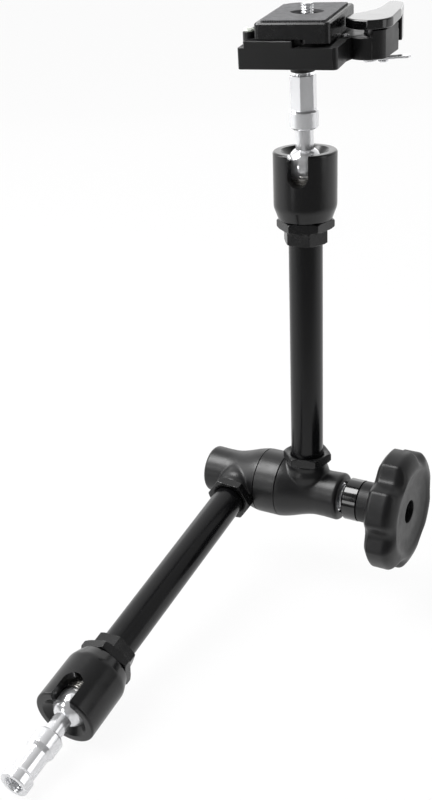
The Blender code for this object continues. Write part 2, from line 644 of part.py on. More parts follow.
def socket(prefix, pivot, slot_turn):
    """Build the slotted cup, the seat that presses on its ball and the washer behind the seat."""
    seat_radius = BALL_RADIUS + CLEAR
    name = prefix + "_socket_cup"
    rim_edge = SOCKET_RADIUS - SOCKET_RIM_ROUND
    profile = arc((rim_edge, SOCKET_RIM - SOCKET_RIM_ROUND), SOCKET_RIM_ROUND, 90, 0, 3)
    profile += [(SOCKET_RADIUS, SOCKET_TAPER_TOP), (SOCKET_BOTTOM_RADIUS, SOCKET_BOTTOM),
                (THREAD_RADIUS + CLEAR, SOCKET_BOTTOM), (THREAD_RADIUS + CLEAR, NECK_TOP + CLEAR),
                (seat_radius, NECK_TOP + CLEAR)]
    profile += list(reversed(ball_arc(seat_radius, SOCKET_LIP, 0.0, 3)))
    profile.append((SOCKET_MOUTH_RADIUS, SOCKET_RIM))
    cup = turned(name, pivot, profile, "paint", closed=True)
    turn = Matrix.Rotation(slot_turn, 4, "Z")
    half = SLOT_WIDTH / 2
    above = SOCKET_RIM + 5 * MM
    outline = arc((0, -SLOT_ARC_DROP), half, 180, 360, 10) + [(half, above), (-half, above)]
    upright = turn @ Matrix.Rotation(math.pi / 2, 4, "X")
    cut(cup, slab(name + "_slot", pivot, outline, 0, SOCKET_RADIUS + 5 * MM, matrix=upright))
    profile = ball_arc(seat_radius, -SEAT_EDGE, -math.sqrt(seat_radius ** 2 - SEAT_HOLE ** 2), 6)
    outer = seat_radius - CLEAR
    profile = [(outer, -SEAT_EDGE), (outer, SEAT_BOTTOM), (SEAT_HOLE, SEAT_BOTTOM)] + profile[::-1]
    turned(prefix + "_ball_seat", pivot, profile, "bronze", None, SIDES_MEDIUM, closed=True)
    washer(prefix + "_seat_washer", pivot, ROD_HOLE, outer, NECK_TOP + CLEAR,
           NECK_TOP + CLEAR + SEAT_WASHER_THICKNESS, "steel")


def upper_stem(pivot):
    """Turn the upper ball stem, with its collar, hexagon and 1/4 inch stud."""
    top = STEP_TOP + STUD_LENGTH
    collar_top = COLLAR_START + UPPER_COLLAR_LENGTH
    stud_edge = STUD_RADIUS - 0.5 * MM
    profile = [(0, top), (stud_edge, top), (STUD_RADIUS, top - 0.5 * MM), (STUD_RADIUS, STEP_TOP),
               (STEP_RADIUS, STEP_TOP), (STEP_RADIUS, collar_top)]
    profile += collar_profile(collar_top)
    profile += ball_profile()
    stem = turned("upper_ball_stem", pivot, profile, "chrome", sides=SIDES_MEDIUM)
    hexagonal = hexagon("upper_ball_stem_hexagon", pivot, HEX_FLATS, collar_top - MM, HEX_TOP, HEX_TURN)
    keep(hexagonal, chamfer_tool("upper_ball_stem_chamfer", pivot, HEX_FLATS, collar_top - MM, HEX_TOP))
    fuse(stem, hexagonal)


def collar_profile(top):
    """List the profile of the collar above the ball's neck, from the top down."""
    edge = COLLAR_RADIUS - STEM_CHAMFER
    return [(edge, top), (COLLAR_RADIUS, top - STEM_CHAMFER),
            (COLLAR_RADIUS, COLLAR_START + STEM_CHAMFER), (edge, COLLAR_START), (NECK_RADIUS, COLLAR_START)]


def ball_profile():
    """List the neck's end and the ball, from the neck down."""
    join = math.sqrt(BALL_RADIUS ** 2 - NECK_RADIUS ** 2)
    points = ball_arc(BALL_RADIUS, join, -BALL_RADIUS, 9)
    return points[:-1] + [(0, -BALL_RADIUS)]


def lower_stem(ball, spigot):
    """Turn the lower ball stem and the 5/8 inch spigot that spins on its pin."""
    neck_top = COLLAR_START - CLEAR
    pin_top = neck_top + SPIGOT_STUD_LENGTH
    profile = [(0, pin_top), (SPIGOT_STUD_RADIUS - 0.5 * MM, pin_top),
               (SPIGOT_STUD_RADIUS, pin_top - 0.5 * MM), (SPIGOT_STUD_RADIUS, neck_top),
               (NECK_RADIUS, neck_top)]
    turned("lower_ball_stem", ball, profile + ball_profile(), "chrome", sides=SIDES_MEDIUM)
    collar_top = COLLAR_START + SPIGOT_COLLAR_LENGTH
    flange_bottom = SPIGOT_END - SPIGOT_FLANGE_LENGTH
    edge = COLLAR_RADIUS - STEM_CHAMFER
    hole = SPIGOT_THREAD_RADIUS
    pin_hole = SPIGOT_STUD_RADIUS + CLEAR
    profile = [(0, SPIGOT_END - SPIGOT_THREAD_DEPTH), (hole, SPIGOT_END - SPIGOT_THREAD_DEPTH),
               (hole, SPIGOT_END - 0.6 * MM), (hole + 0.6 * MM, SPIGOT_END),
               (COLLAR_RADIUS - 0.6 * MM, SPIGOT_END), (COLLAR_RADIUS, SPIGOT_END - 0.6 * MM),
               (COLLAR_RADIUS, flange_bottom), (SPIGOT_WAIST_RADIUS, flange_bottom - SPIGOT_SHOULDER / 2),
               (SPIGOT_WAIST_RADIUS, collar_top + SPIGOT_SHOULDER), (COLLAR_RADIUS, collar_top),
               (COLLAR_RADIUS, COLLAR_START + STEM_CHAMFER), (edge, COLLAR_START),
               (pin_hole, COLLAR_START), (pin_hole, pin_top + CLEAR), (0, pin_top + CLEAR)]
    turned("lower_spigot", spigot, profile, "chrome", sides=SIDES_MEDIUM)


def elbow(pivot_middle, spindle_pivot, wedge_pivot, upper_pivot):
    """Build what lies inside the elbow: ring, linings, sleeve, spring, spindle and wedges."""
    half = RING_WIDTH / 2
    lining_outer = HOUSING_FACE - CLEAR
    lining_inner = lining_outer - DISC_THICKNESS
    floor = lining_inner - CLEAR
    recess = DISC_OUTER + CLEAR
    edge = RING_RADIUS - 0.5 * MM
    profile = [(recess, half), (edge, half), (RING_RADIUS, half - 0.5 * MM),
               (RING_RADIUS, 0.5 * MM - half), (edge, -half), (recess, -half), (recess, -floor),
               (MAIN_BORE, -floor), (MAIN_BORE, floor), (recess, floor)]
    turned("friction_ring", pivot_middle, profile, "paint", closed=True)
    flip = Matrix.Rotation(math.pi, 4, "X")
    washer("lower_friction_disc", pivot_middle, DISC_INNER, DISC_OUTER, lining_inner, lining_outer,
           "lining", flip)
    washer("upper_friction_disc", upper_pivot, DISC_INNER, DISC_OUTER, lining_inner, lining_outer,
           "lining", side_matrix(1))
    sleeve_outer = MAIN_BORE - CLEAR
    washer("centre_sleeve", pivot_middle, sleeve_outer - CENTRE_SLEEVE_WALL, sleeve_outer,
           -CENTRE_SLEEVE_LENGTH / 2, CENTRE_SLEEVE_LENGTH / 2, "bronze")
    spindle_hole = SPINDLE_RADIUS + CLEAR
    near = HALF_SPACING - WEDGE_HALF_LENGTH
    far = HALF_SPACING + WEDGE_HALF_LENGTH
    coil("elbow_spring", pivot_middle, spindle_hole + SPRING_WIRE + CLEAR, SPRING_WIRE,
         CLEAR - near, near - CLEAR, SPRING_TURNS, "steel")
    thin_end = WEDGE_RADIUS - 2 * WEDGE_HALF_LENGTH * WEDGE_SLOPE
    lower = [(WEDGE_RADIUS, far), (thin_end, near), (spindle_hole, near), (spindle_hole, far)]
    turned("lower_wedge", spindle_pivot, lower, "steel", flip, SIDES_SMALL, closed=True)
    sleeve_end = ELBOW_HALF_LENGTH - COUNTERBORE_DEPTH
    upper = [(SLEEVE_RADIUS, sleeve_end), (SLEEVE_RADIUS, far), (WEDGE_RADIUS, far), (thin_end, near),
             (spindle_hole, near), (spindle_hole, sleeve_end)]
    turned("upper_wedge", wedge_pivot, upper, "steel", None, SIDES_SMALL, closed=True)
    collar_near = -far - CLEAR
    collar_far = collar_near - SPINDLE_COLLAR_WIDTH
    key_end = -(BORE_DEPTH + KEY_DEPTH - KEY_TRAVEL)
    tip = SPINDLE_END - HALF_SPACING
    profile = [(0, tip), (SPINDLE_RADIUS - 0.7 * MM, tip), (SPINDLE_RADIUS, tip - 0.7 * MM),
               (SPINDLE_RADIUS, collar_near), (SPINDLE_COLLAR_RADIUS, collar_near),
               (SPINDLE_COLLAR_RADIUS, collar_far), (0, collar_far)]
    spindle = turned("elbow_spindle", spindle_pivot, profile, "steel", sides=SIDES_SMALL)
    key_turn = ELBOW_ANGLE - math.pi  # a corner of the key lies along the lower tube
    fuse(spindle, hexagon("elbow_spindle_key", spindle_pivot, KEY_FLATS, key_end, collar_far + MM,
                          key_turn))


def knob_section(height, radius, depth, sides):
    """List one section of the knob, with its valleys pressed in by the given depth."""
    points = []
    for index in range(sides):
        angle = 2 * math.pi * index / sides
        phase = (angle * KNOB_LOBES / (2 * math.pi)) % 1.0
        off_valley = min(abs(phase - 0.5) * 2 / KNOB_VALLEY_SHARE, 1.0)
        inward = depth * (1 + math.cos(math.pi * off_valley)) / 2
        turn = angle + KNOB_TURN
        points.append(Vector(((radius - inward) * math.cos(turn), (radius - inward) * math.sin(turn),
                              height)))
    return points


def knob(carrier, pivot):
    """Build the knob: washers against the elbow, the bright hub and the moulded star grip."""
    spindle_hole = SPINDLE_RADIUS + CLEAR
    washer("thrust_washer", carrier, spindle_hole, THRUST_WASHER_RADIUS, WASHER_START,
           WASHER_START + THRUST_WASHER_THICKNESS, "steel", sides=SIDES_MEDIUM)
    ring = washer("spring_washer", carrier, spindle_hole, SPRING_WASHER_RADIUS, SPRING_WASHER_START,
                  SPRING_WASHER_START + SPRING_WASHER_THICKNESS, "chrome", sides=SIDES_MEDIUM)
    lean = (Matrix.Translation((0, 0, SPRING_WASHER_START + SPRING_WASHER_THICKNESS / 2))
            @ Matrix.Rotation(math.radians(-35), 4, "Z") @ Matrix.Rotation(math.radians(28), 4, "X"))
    cut(ring, block("spring_washer_split", carrier, (0, -SPRING_WASHER_SPLIT / 2, -6 * MM),
                    (SPRING_WASHER_RADIUS + 3 * MM, SPRING_WASHER_SPLIT / 2, 6 * MM), matrix=lean))
    washer("knob_washer", carrier, spindle_hole, KNOB_WASHER_RADIUS, KNOB_WASHER_START,
           KNOB_WASHER_START + KNOB_WASHER_THICKNESS, "steel", sides=SIDES_MEDIUM)
    edge = HUB_RADIUS - HUB_CHAMFER
    profile = [(HUB_SLEEVE_RADIUS, SLEEVE_END), (HUB_SLEEVE_RADIUS, HUB_END), (HUB_RADIUS, HUB_END),
               (HUB_RADIUS, HUB_START + HUB_CHAMFER), (edge, HUB_START), (spindle_hole, HUB_START),
               (spindle_hole, SLEEVE_END)]
    turned("knob_hub", pivot, profile, "gloss", closed=True)
    sides = KNOB_LOBES * POINTS_PER_LOBE
    bore = HUB_SLEEVE_RADIUS + CLEAR
    full = KNOB_RADIUS
    neck = HUB_RADIUS - 0.2 * MM
    front = STAR_END
    back = STAR_START
    turn_in = KNOB_EDGE_ROUND
    rim = KNOB_DISH_RADIUS + 2.5 * MM
    sections = [
        (GRIP_START, bore, 0.0), (GRIP_START, neck, 0.0), (back - 3.2 * MM, neck + 0.5 * MM, 0.0),
        (back - 0.8 * MM, neck + 2.8 * MM, 0.0), (back + 0.8 * MM, neck + 7.0 * MM, 0.1),
        (back + 0.34 * turn_in, full - 0.9 * turn_in, 0.55),
        (back + 0.7 * turn_in, full - 0.34 * turn_in, 0.85), (back + 1.4 * turn_in, full, 1.0),
        (front - 1.5 * turn_in, full, 1.0), (front - 1.0 * turn_in, full - 0.1 * turn_in, 1.0),
        (front - 0.55 * turn_in, full - 0.42 * turn_in, 0.85),
        (front - 0.2 * turn_in, full - 0.9 * turn_in, 0.5), (front, rim, 0.12),
        (front - 0.7 * MM, KNOB_DISH_RADIUS, 0.0),
        (front - 0.75 * KNOB_DISH_DEPTH, KNOB_DISH_RADIUS - 4.0 * MM, 0.0),
        (front - KNOB_DISH_DEPTH, KNOB_DISH_RADIUS - 9.0 * MM, 0.0),
        (front - KNOB_DISH_DEPTH, KNOB_HOLE_RADIUS, 0.0), (SLEEVE_END + CLEAR, KNOB_HOLE_RADIUS, 0.0),
        (SLEEVE_END + CLEAR, bore, 0.0),
    ]
    rings = []
    for height, radius, share in sections:
        rings.append(knob_section(height, radius, KNOB_VALLEY_DEPTH * share, sides))
    lofted("knob_grip", pivot, rings, "rubber")


def clamp_outline():
    """List the clamp body's outline: a rectangle and the lobe that carries the lever."""
    across, along = LEVER_PIVOT
    right = across + LOBE_RADIUS - 0.4 * MM
    body = [(BASE_LEFT, -BASE_HALF_DEPTH), (BASE_RIGHT - 2 * MM, -BASE_HALF_DEPTH),
            (BASE_RIGHT, 2 * MM - BASE_HALF_DEPTH), (BASE_RIGHT, along - LOBE_RADIUS - 4 * MM)]
    lobe = arc((across, along), LOBE_RADIUS, 232, 322, 8)
    rear = [(right, LOBE_BACK - 6 * MM), (right - 6 * MM, LOBE_BACK + 3 * MM),
            (BASE_RIGHT, BASE_HALF_DEPTH - 2 * MM), (BASE_RIGHT - 2 * MM, BASE_HALF_DEPTH),
            (BASE_LEFT, BASE_HALF_DEPTH)]
    return body + lobe + rear


def clamp_base(pivot):
    """Cast the clamp body, with its ledges, fixed jaw, tower, bosses and holes."""
    body = slab("clamp_base", pivot, clamp_outline(), BASE_BOTTOM, BASE_TOP, "paint")
    wall_back = WALL_THICKNESS - BASE_HALF_DEPTH
    deep = BASE_TOP - MM
    fuse(body, block("base_front_wall", pivot, (WALL_LEFT, -BASE_HALF_DEPTH, deep),
                     (WALL_RIGHT, wall_back, WALL_TOP)))
    fuse(body, block("base_left_wall", pivot, (WALL_LEFT, wall_back - MM, deep),
                     (WALL_LEFT + WALL_THICKNESS, BASE_HALF_DEPTH, WALL_TOP)))
    jaw_face = PLATE_LEFT - CLEAR
    hook = [(WALL_LEFT + 0.6 * MM, WALL_TOP - MM), (jaw_face, WALL_TOP - MM),
            (jaw_face, JAW_TOP - JAW_HOOK_HEIGHT), (jaw_face + JAW_HOOK, JAW_TOP - JAW_HOOK_HEIGHT / 2),
            (jaw_face, JAW_TOP), (WALL_LEFT + 1.4 * MM, JAW_TOP)]
    upright = Matrix.Rotation(math.pi / 2, 4, "X")
    fuse(body, slab("base_fixed_jaw", pivot, hook, -JAW_HALF_LENGTH, JAW_HALF_LENGTH, matrix=upright))
    across, along = LEVER_PIVOT
    right = across + LOBE_RADIUS - 0.4 * MM
    tower = arc((across, along), LOBE_RADIUS, 322, 288.25, 3) + [
        (TOWER_START, along), (TOWER_START, LOBE_BACK - 4 * MM), (right - 5 * MM, LOBE_BACK - 2 * MM),
        (right, LOBE_BACK - 6 * MM)]
    fuse(body, slab("base_tower", pivot, tower, deep, TOWER_TOP))
    fuse(body, drum("base_boss", pivot, BASE_BOSS_RADIUS, BOSS_BOTTOM, BASE_BOTTOM + MM,
                    sides=SIDES_MEDIUM))
    level = Matrix.Translation((*LEVEL_PLACE, 0))
    fuse(body, drum("base_level_boss", pivot, LEVEL_RADIUS, deep, LEVEL_TOP, matrix=level,
                    sides=SIDES_SMALL))
    cut(body, drum("base_level_hole", pivot, LEVEL_STEM_RADIUS + CLEAR, LEVEL_TOP - LEVEL_DEPTH,
                   LEVEL_TOP + MM, matrix=level, sides=SIDES_SMALL))
    cut(body, drum("base_stud_hole", pivot, STUD_RADIUS + CLEAR, BOSS_BOTTOM - MM,
                   BOSS_BOTTOM + STUD_HOLE_DEPTH, sides=SIDES_SMALL))
    pin = Matrix.Translation((*LEVER_PIVOT, 0))
    cut(body, drum("base_pin_hole", pivot, PIVOT_PIN_RADIUS + CLEAR, BASE_BOTTOM - MM, TOWER_TOP + MM,
                   matrix=pin, sides=SIDES_SMALL))
    rivet = Matrix.Translation((*SAFETY_PIVOT, 0))
    cut(body, drum("base_rivet_hole", pivot, RIVET_RADIUS + CLEAR, BASE_BOTTOM - MM,
                   BASE_BOTTOM + RIVET_DEPTH + CLEAR, matrix=rivet, sides=SIDES_SMALL))
    trigger = Matrix.Translation((*TRIGGER_PLACE, 0))
    cut(body, drum("base_trigger_hole", pivot, TRIGGER_RADIUS + CLEAR, BASE_TOP - TRIGGER_DEPTH,
                   BASE_TOP + MM, matrix=trigger, sides=SIDES_SMALL))


def clamp_small_parts(pivot):
    """Build the pieces held by the clamp body: pins, rivet, plunger, its spring and the level."""
    pin = Matrix.Translation((*LEVER_PIVOT, 0))
    pin_top = LEVER_TOP - PIN_COVER - CLEAR
    head_top = BASE_BOTTOM - CLEAR
    head_bottom = head_top - PIN_HEAD_HEIGHT
    profile = [(0, pin_top), (PIVOT_PIN_RADIUS, pin_top), (PIVOT_PIN_RADIUS, head_top),
               (PIN_HEAD_RADIUS, head_top), (PIN_HEAD_RADIUS, head_bottom + 0.8 * MM),
               (PIN_HEAD_RADIUS - MM, head_bottom), (0, head_bottom)]
    turned("lever_pivot_pin", pivot, profile, "chrome", pin, SIDES_SMALL)
    rivet = Matrix.Translation((*SAFETY_PIVOT, 0))
    top = BASE_BOTTOM + RIVET_DEPTH
    head_top = SAFETY_TOP - SAFETY_THICKNESS - CLEAR
    profile = [(0, top), (RIVET_RADIUS, top), (RIVET_RADIUS, head_top), (RIVET_HEAD_RADIUS, head_top),
               (RIVET_HEAD_RADIUS, head_top - RIVET_HEAD_HEIGHT / 2),
               (RIVET_HEAD_RADIUS - 0.8 * MM, head_top - RIVET_HEAD_HEIGHT), (0, head_top - RIVET_HEAD_HEIGHT)]
    turned("safety_rivet", pivot, profile, "chrome", rivet, SIDES_SMALL)
    trigger = Matrix.Translation((*TRIGGER_PLACE, 0))
    plunger_top = PLATE_BOTTOM - RAIL_HEIGHT - CLEAR
    plunger_bottom = plunger_top - PLUNGER_LENGTH
    profile = [(0, plunger_top), (TRIGGER_RADIUS - 0.6 * MM, plunger_top),
               (TRIGGER_RADIUS, plunger_top - 0.6 * MM), (TRIGGER_RADIUS, plunger_bottom),
               (0, plunger_bottom)]
    turned("trigger_plunger", pivot, profile, "chrome", trigger, SIDES_SMALL)
    coil("trigger_spring", pivot, TRIGGER_RADIUS - 2 * PLUNGER_WIRE, PLUNGER_WIRE,
         BASE_TOP - TRIGGER_DEPTH + CLEAR, plunger_bottom - CLEAR, 3, "steel", trigger, 7)
    level = Matrix.Translation((*LEVEL_PLACE, 0))
    flange = LEVEL_TOP + CLEAR
    rim = LEVEL_RADIUS - 0.2 * MM
    profile = [(0, flange + 1.5 * MM), (0.5 * rim, flange + 1.35 * MM), (0.85 * rim, flange + 0.8 * MM),
               (rim, flange), (LEVEL_STEM_RADIUS, flange), (LEVEL_STEM_RADIUS, LEVEL_TOP - LEVEL_DEPTH + CLEAR),
               (0, LEVEL_TOP - LEVEL_DEPTH + CLEAR)]
    turned("spirit_level", pivot, profile, "vial", level, SIDES_SMALL)


def recess_outline(place_at):
    """List the pointed oval round the camera screw."""
    centre_u, centre_w = place_at
    reach = (RECESS_HALF_LENGTH ** 2 + RECESS_HALF_WIDTH ** 2) / (2 * RECESS_HALF_WIDTH)
    half_angle = math.degrees(math.asin(RECESS_HALF_LENGTH / reach))
    drop = reach - RECESS_HALF_WIDTH
    front = arc((centre_u, centre_w + drop), reach, 270 - half_angle, 270 + half_angle, 6)
    back = arc((centre_u, centre_w - drop), reach, 90 - half_angle, 90 + half_angle, 6)
    return front[:-1] + back[:-1]


def quick_release(pivot):
    """Build the camera plate and the pad bonded into its top."""
    left, right, half = PLATE_LEFT, PLATE_RIGHT, PLATE_HALF_DEPTH
    outline = rounded_box(left, right, -half, half, PLATE_CORNER, 3)
    plate = slab("quick_release_plate", pivot, outline, PLATE_BOTTOM, PLATE_TOP, "paint")
    trim = plate.modifiers.new("Edge", "BEVEL")
    trim.width = PLATE_EDGE
    trim.segments = 1
    trim.limit_method = "ANGLE"
    trim.angle_limit = math.radians(60)
    rail = rounded_box(RAIL_START, right, -half, half, PLATE_CORNER, 3)
    fuse(plate, slab("plate_rail", pivot, rail, PLATE_BOTTOM - RAIL_HEIGHT, PLATE_BOTTOM + 2 * MM))
    pocket = pad_outline(PAD_MARGIN - CLEAR)
    cut(plate, slab("plate_pocket", pivot, pocket, PLATE_TOP - PAD_POCKET, PLATE_TOP + MM))
    recess_floor = PLATE_TOP - RECESS_DEPTH
    cut(plate, slab("plate_recess", pivot, recess_outline(SCREW_PLACE), recess_floor, PLATE_TOP + MM))
    screw = Matrix.Translation((*SCREW_PLACE, 0))
    cut(plate, drum("plate_screw_hole", pivot, SCREW_RADIUS + CLEAR, PLATE_BOTTOM - 5 * MM,
                    PLATE_TOP, matrix=screw, sides=SIDES_SMALL))
    cut(plate, drum("plate_head_pocket", pivot, SCREW_HEAD_RADIUS + CLEAR, PLATE_BOTTOM - 5 * MM,
                    PLATE_BOTTOM + SCREW_HEAD_HEIGHT + 2 * CLEAR, matrix=screw, sides=SIDES_MEDIUM))
    groove = (PLATE_LEFT - MM, -JAW_HALF_LENGTH - 2 * CLEAR, JAW_TOP - JAW_HOOK_HEIGHT - CLEAR)
    cut(plate, block("plate_groove", pivot, groove,
                     (PLATE_LEFT + JAW_HOOK, JAW_HALF_LENGTH + 2 * CLEAR, JAW_TOP + CLEAR)))
    bottom = PLATE_TOP - PAD_POCKET + CLEAR
    pad = slab("camera_pad", pivot, pad_outline(PAD_MARGIN), bottom, bottom + PAD_THICKNESS, "pad")
    cut(pad, slab("pad_recess", pivot, recess_outline(SCREW_PLACE), bottom - MM,
                  bottom + PAD_THICKNESS + MM))


def pad_outline(margin):
    """List the pad's outline, with one corner cut round, inside the plate's edge."""
    left, right = PLATE_LEFT + margin, PLATE_RIGHT - margin
    front, back = margin - PLATE_HALF_DEPTH, PLATE_HALF_DEPTH - margin
    corner = 1.2 * MM
    points = arc((right - corner, front + corner), corner, -90, 0, 2)
    points += arc((right - corner, back - corner), corner, 0, 90, 2)
    points += arc((left + PAD_CORNER, back - PAD_CORNER), PAD_CORNER, 90, 180, 5)
    points += arc((left + corner, front + corner), corner, 180, 270, 2)
    return points


def camera_screw(pivot):
    """Turn the captive 1/4 inch screw with its slotted head."""
    head_bottom = PLATE_BOTTOM + CLEAR
    head_top = head_bottom + SCREW_HEAD_HEIGHT
    edge = SCREW_RADIUS - 0.6 * MM
    profile = [(0, SCREW_TOP), (edge, SCREW_TOP), (SCREW_RADIUS, SCREW_TOP - 0.6 * MM),
               (SCREW_RADIUS, head_top), (SCREW_HEAD_RADIUS, head_top), (SCREW_HEAD_RADIUS, head_bottom),
               (0, head_bottom)]
    screw = turned("camera_screw", pivot, profile, "chrome", sides=SIDES_MEDIUM)
    reach = SCREW_HEAD_RADIUS + MM
    cut(screw, block("camera_screw_slot", pivot, (-reach, -COIN_SLOT / 2, head_bottom - MM),
                     (reach, COIN_SLOT / 2, head_bottom + 1.2 * MM)))


def clamp_lever(pivot):
    """Build the locking lever: a round cam head, an arm and the tab under its end."""
    outer = LEVER_HEAD_RADIUS + 2.0 * MM
    outline = arc((0, 0), LEVER_HEAD_RADIUS, 128, 200, 5)
    outline += arc((0, 0), LEVER_HEAD_RADIUS - CAM_RELIEF, 212, 262, 4)
    outline += arc((0, 0), LEVER_HEAD_RADIUS, 275, 360, 7)
    outline += [(outer, 0.6 * LEVER_REACH), (outer, 0.84 * LEVER_REACH), (outer - 2.2 * MM, 0.94 * LEVER_REACH),
                (outer - 5.4 * MM, LEVER_REACH), (outer - 7.6 * MM, 0.97 * LEVER_REACH)]
    inner = outer - LEVER_ARM_WIDTH
    outline += [(inner - 1.4 * MM, 0.80 * LEVER_REACH), (inner - 2.6 * MM, 0.62 * LEVER_REACH),
                (inner - 5.4 * MM, 0.44 * LEVER_REACH), (-3.6 * MM, 0.32 * LEVER_REACH)]
    lever = slab("clamp_lever", pivot, outline, LEVER_BOTTOM, LEVER_TOP, "gloss", LEVER_EDGE)
    middle = 0.72 * LEVER_REACH
    fuse(lever, block("lever_tab", pivot, (outer - TAB_THICKNESS, middle - TAB_LENGTH / 2, TAB_BOTTOM),
                      (outer - 0.01 * MM, middle + TAB_LENGTH / 2, LEVER_TOP - LEVER_EDGE - 0.5 * MM)))
    cut(lever, drum("lever_pin_hole", pivot, PIVOT_PIN_RADIUS + CLEAR, LEVER_BOTTOM - MM,
                    LEVER_TOP - PIN_COVER, sides=SIDES_SMALL))


def safety_lever(pivot):
    """Build the thin safety catch under the clamp body."""
    half = SAFETY_WIDTH / 2
    eye = SAFETY_EYE_RADIUS
    outline = arc((0, 0), eye, 60, 300, 8)
    outline += [(0.45 * SAFETY_REACH, 0.4 * MM - half)]
    outline += arc((SAFETY_REACH - half, 0), half, -90, 90, 5)
    outline += [(0.45 * SAFETY_REACH, half - 0.4 * MM)]
    turn = Matrix.Rotation(SAFETY_TURN, 4, "Z")
    catch = slab("safety_lever", pivot, outline, SAFETY_TOP - SAFETY_THICKNESS, SAFETY_TOP, "chrome",
                 matrix=turn)
    cut(catch, drum("safety_lever_hole", pivot, RIVET_RADIUS + CLEAR, SAFETY_TOP - 5 * MM,
                    SAFETY_TOP + 5 * MM, matrix=turn, sides=SIDES_SMALL))


def build():
    """Build every body under its own pivot."""
    hinge_middle = HINGE_FRAME @ Matrix.Translation((0, 0, HALF_SPACING))
    spigot = make_pivot("spigot_pivot", LOWER_BALL_FRAME)
    lower_ball = make_pivot("lower_ball_pivot", LOWER_BALL_FRAME)
    lower_socket = make_pivot("lower_socket_pivot", LOWER_BALL_FRAME)
    lower_arm = make_pivot("lower_arm_pivot", LOWER_FRAME)
    lower_rod = make_pivot("lower_rod_slide", LOWER_FRAME)
    elbow_middle = make_pivot("elbow_middle", hinge_middle)
    spindle = make_pivot("spindle_slide", hinge_middle)
    wedge = make_pivot("upper_wedge_slide", hinge_middle)
    upper_arm = make_pivot("upper_arm_pivot", UPPER_FRAME)
    upper_rod = make_pivot("upper_rod_slide", UPPER_FRAME)
    carrier = make_pivot("knob_slide", HINGE_FRAME)
    knob_pivot = make_pivot("knob_pivot", HINGE_FRAME)
    upper_socket = make_pivot("upper_socket_pivot", UPPER_CENTRE_FRAME)
    upper_ball = make_pivot("upper_ball_pivot", UPPER_BALL_FRAME)
    clamp = make_pivot("clamp_pivot", CLAMP_FRAME)
    lever = make_pivot("clamp_lever_pivot", LEVER_FRAME)
    safety = make_pivot("safety_lever_pivot", SAFETY_FRAME)
    screw = make_pivot("camera_screw_pivot", CLAMP_FRAME @ Matrix.Translation((*SCREW_PLACE, 0)))
    lower_stem(lower_ball, spigot)
    socket("lower", lower_socket, math.pi - LOWER_SLOT_ANGLE)
    arm("lower", lower_arm, -1, LOWER_NUT_TURN)
    push_rod("lower", lower_rod)
    elbow(elbow_middle, spindle, wedge, upper_arm)
    arm("upper", upper_arm, 1, UPPER_NUT_TURN)
    push_rod("upper", upper_rod)
    knob(carrier, knob_pivot)
    socket("upper", upper_socket, UPPER_SLOT_ANGLE)
    upper_stem(upper_ball)
    clamp_base(clamp)
    clamp_small_parts(clamp)
    quick_release(clamp)
    camera_screw(screw)
    clamp_lever(lever)
    safety_lever(safety)
    bpy.context.view_layer.update()


build()
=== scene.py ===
"""Looks of the articulating friction arm: its visible pieces, finishes, studio light and camera."""

import json
import logging
import math
from dataclasses import dataclass, field
from enum import Enum
from typing import Any, Callable, Sequence

import bmesh
import bpy
import numpy as np
from mathutils import Matrix, Vector

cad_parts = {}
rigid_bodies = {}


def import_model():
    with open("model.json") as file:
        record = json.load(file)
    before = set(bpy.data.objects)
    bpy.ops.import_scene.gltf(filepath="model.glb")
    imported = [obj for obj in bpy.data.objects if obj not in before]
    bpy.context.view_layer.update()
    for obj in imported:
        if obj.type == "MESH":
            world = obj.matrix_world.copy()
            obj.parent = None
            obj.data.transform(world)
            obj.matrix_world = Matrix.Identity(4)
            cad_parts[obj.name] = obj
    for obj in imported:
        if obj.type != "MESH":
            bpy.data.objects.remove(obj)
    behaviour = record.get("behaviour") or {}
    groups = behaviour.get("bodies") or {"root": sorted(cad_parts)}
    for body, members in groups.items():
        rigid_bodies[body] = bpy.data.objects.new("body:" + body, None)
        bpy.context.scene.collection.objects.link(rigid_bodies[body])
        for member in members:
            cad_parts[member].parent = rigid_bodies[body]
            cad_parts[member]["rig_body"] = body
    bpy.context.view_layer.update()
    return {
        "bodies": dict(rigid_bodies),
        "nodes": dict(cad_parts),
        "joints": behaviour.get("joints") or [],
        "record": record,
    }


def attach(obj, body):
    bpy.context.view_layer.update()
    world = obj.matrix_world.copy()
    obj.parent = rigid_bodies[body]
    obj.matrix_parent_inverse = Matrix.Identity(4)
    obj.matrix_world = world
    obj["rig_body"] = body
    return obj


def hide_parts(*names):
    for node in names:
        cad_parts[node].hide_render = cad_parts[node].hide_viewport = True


MM = 0.001
TURN = 2 * math.pi
SHARP_ANGLE = 34.0  # degrees; steeper edges stay sharp
EASED_SHARP_ANGLE = 60.0  # the same, on a piece whose edges are eased
TRIM_ANGLE = 30.0  # degrees between a nut's face and the cone that trims its corners
CROWN_SHARE = 1.045  # width of a nut's flat face against its width across the flats
SINK_SHARE = 0.6  # depth of a nut's countersink against its width
THREAD_ROWS = 8  # rows of vertices in one turn of a thread
THREAD_FLANK = 2.6  # steepness of a thread's flanks
WAVE_PERIOD = 0.314  # metres between two bands of the wave texture at scale 1
MIX_A, MIX_B, MIX_RESULT = 6, 7, 2  # places of the mix node's colour sockets
PAST = 5 * MM  # how far a cutter reaches past what it cuts
QUARTER_INCH_PITCH = 1.27 * MM  # 20 turns an inch
THREE_EIGHTHS_PITCH = 1.5875 * MM  # 16 turns an inch
LOG = logging.getLogger("friction_arm")
Corner = tuple[float, ...]
Line = list[tuple[float, float]]


# ---------------------------------------------------------------- shapes


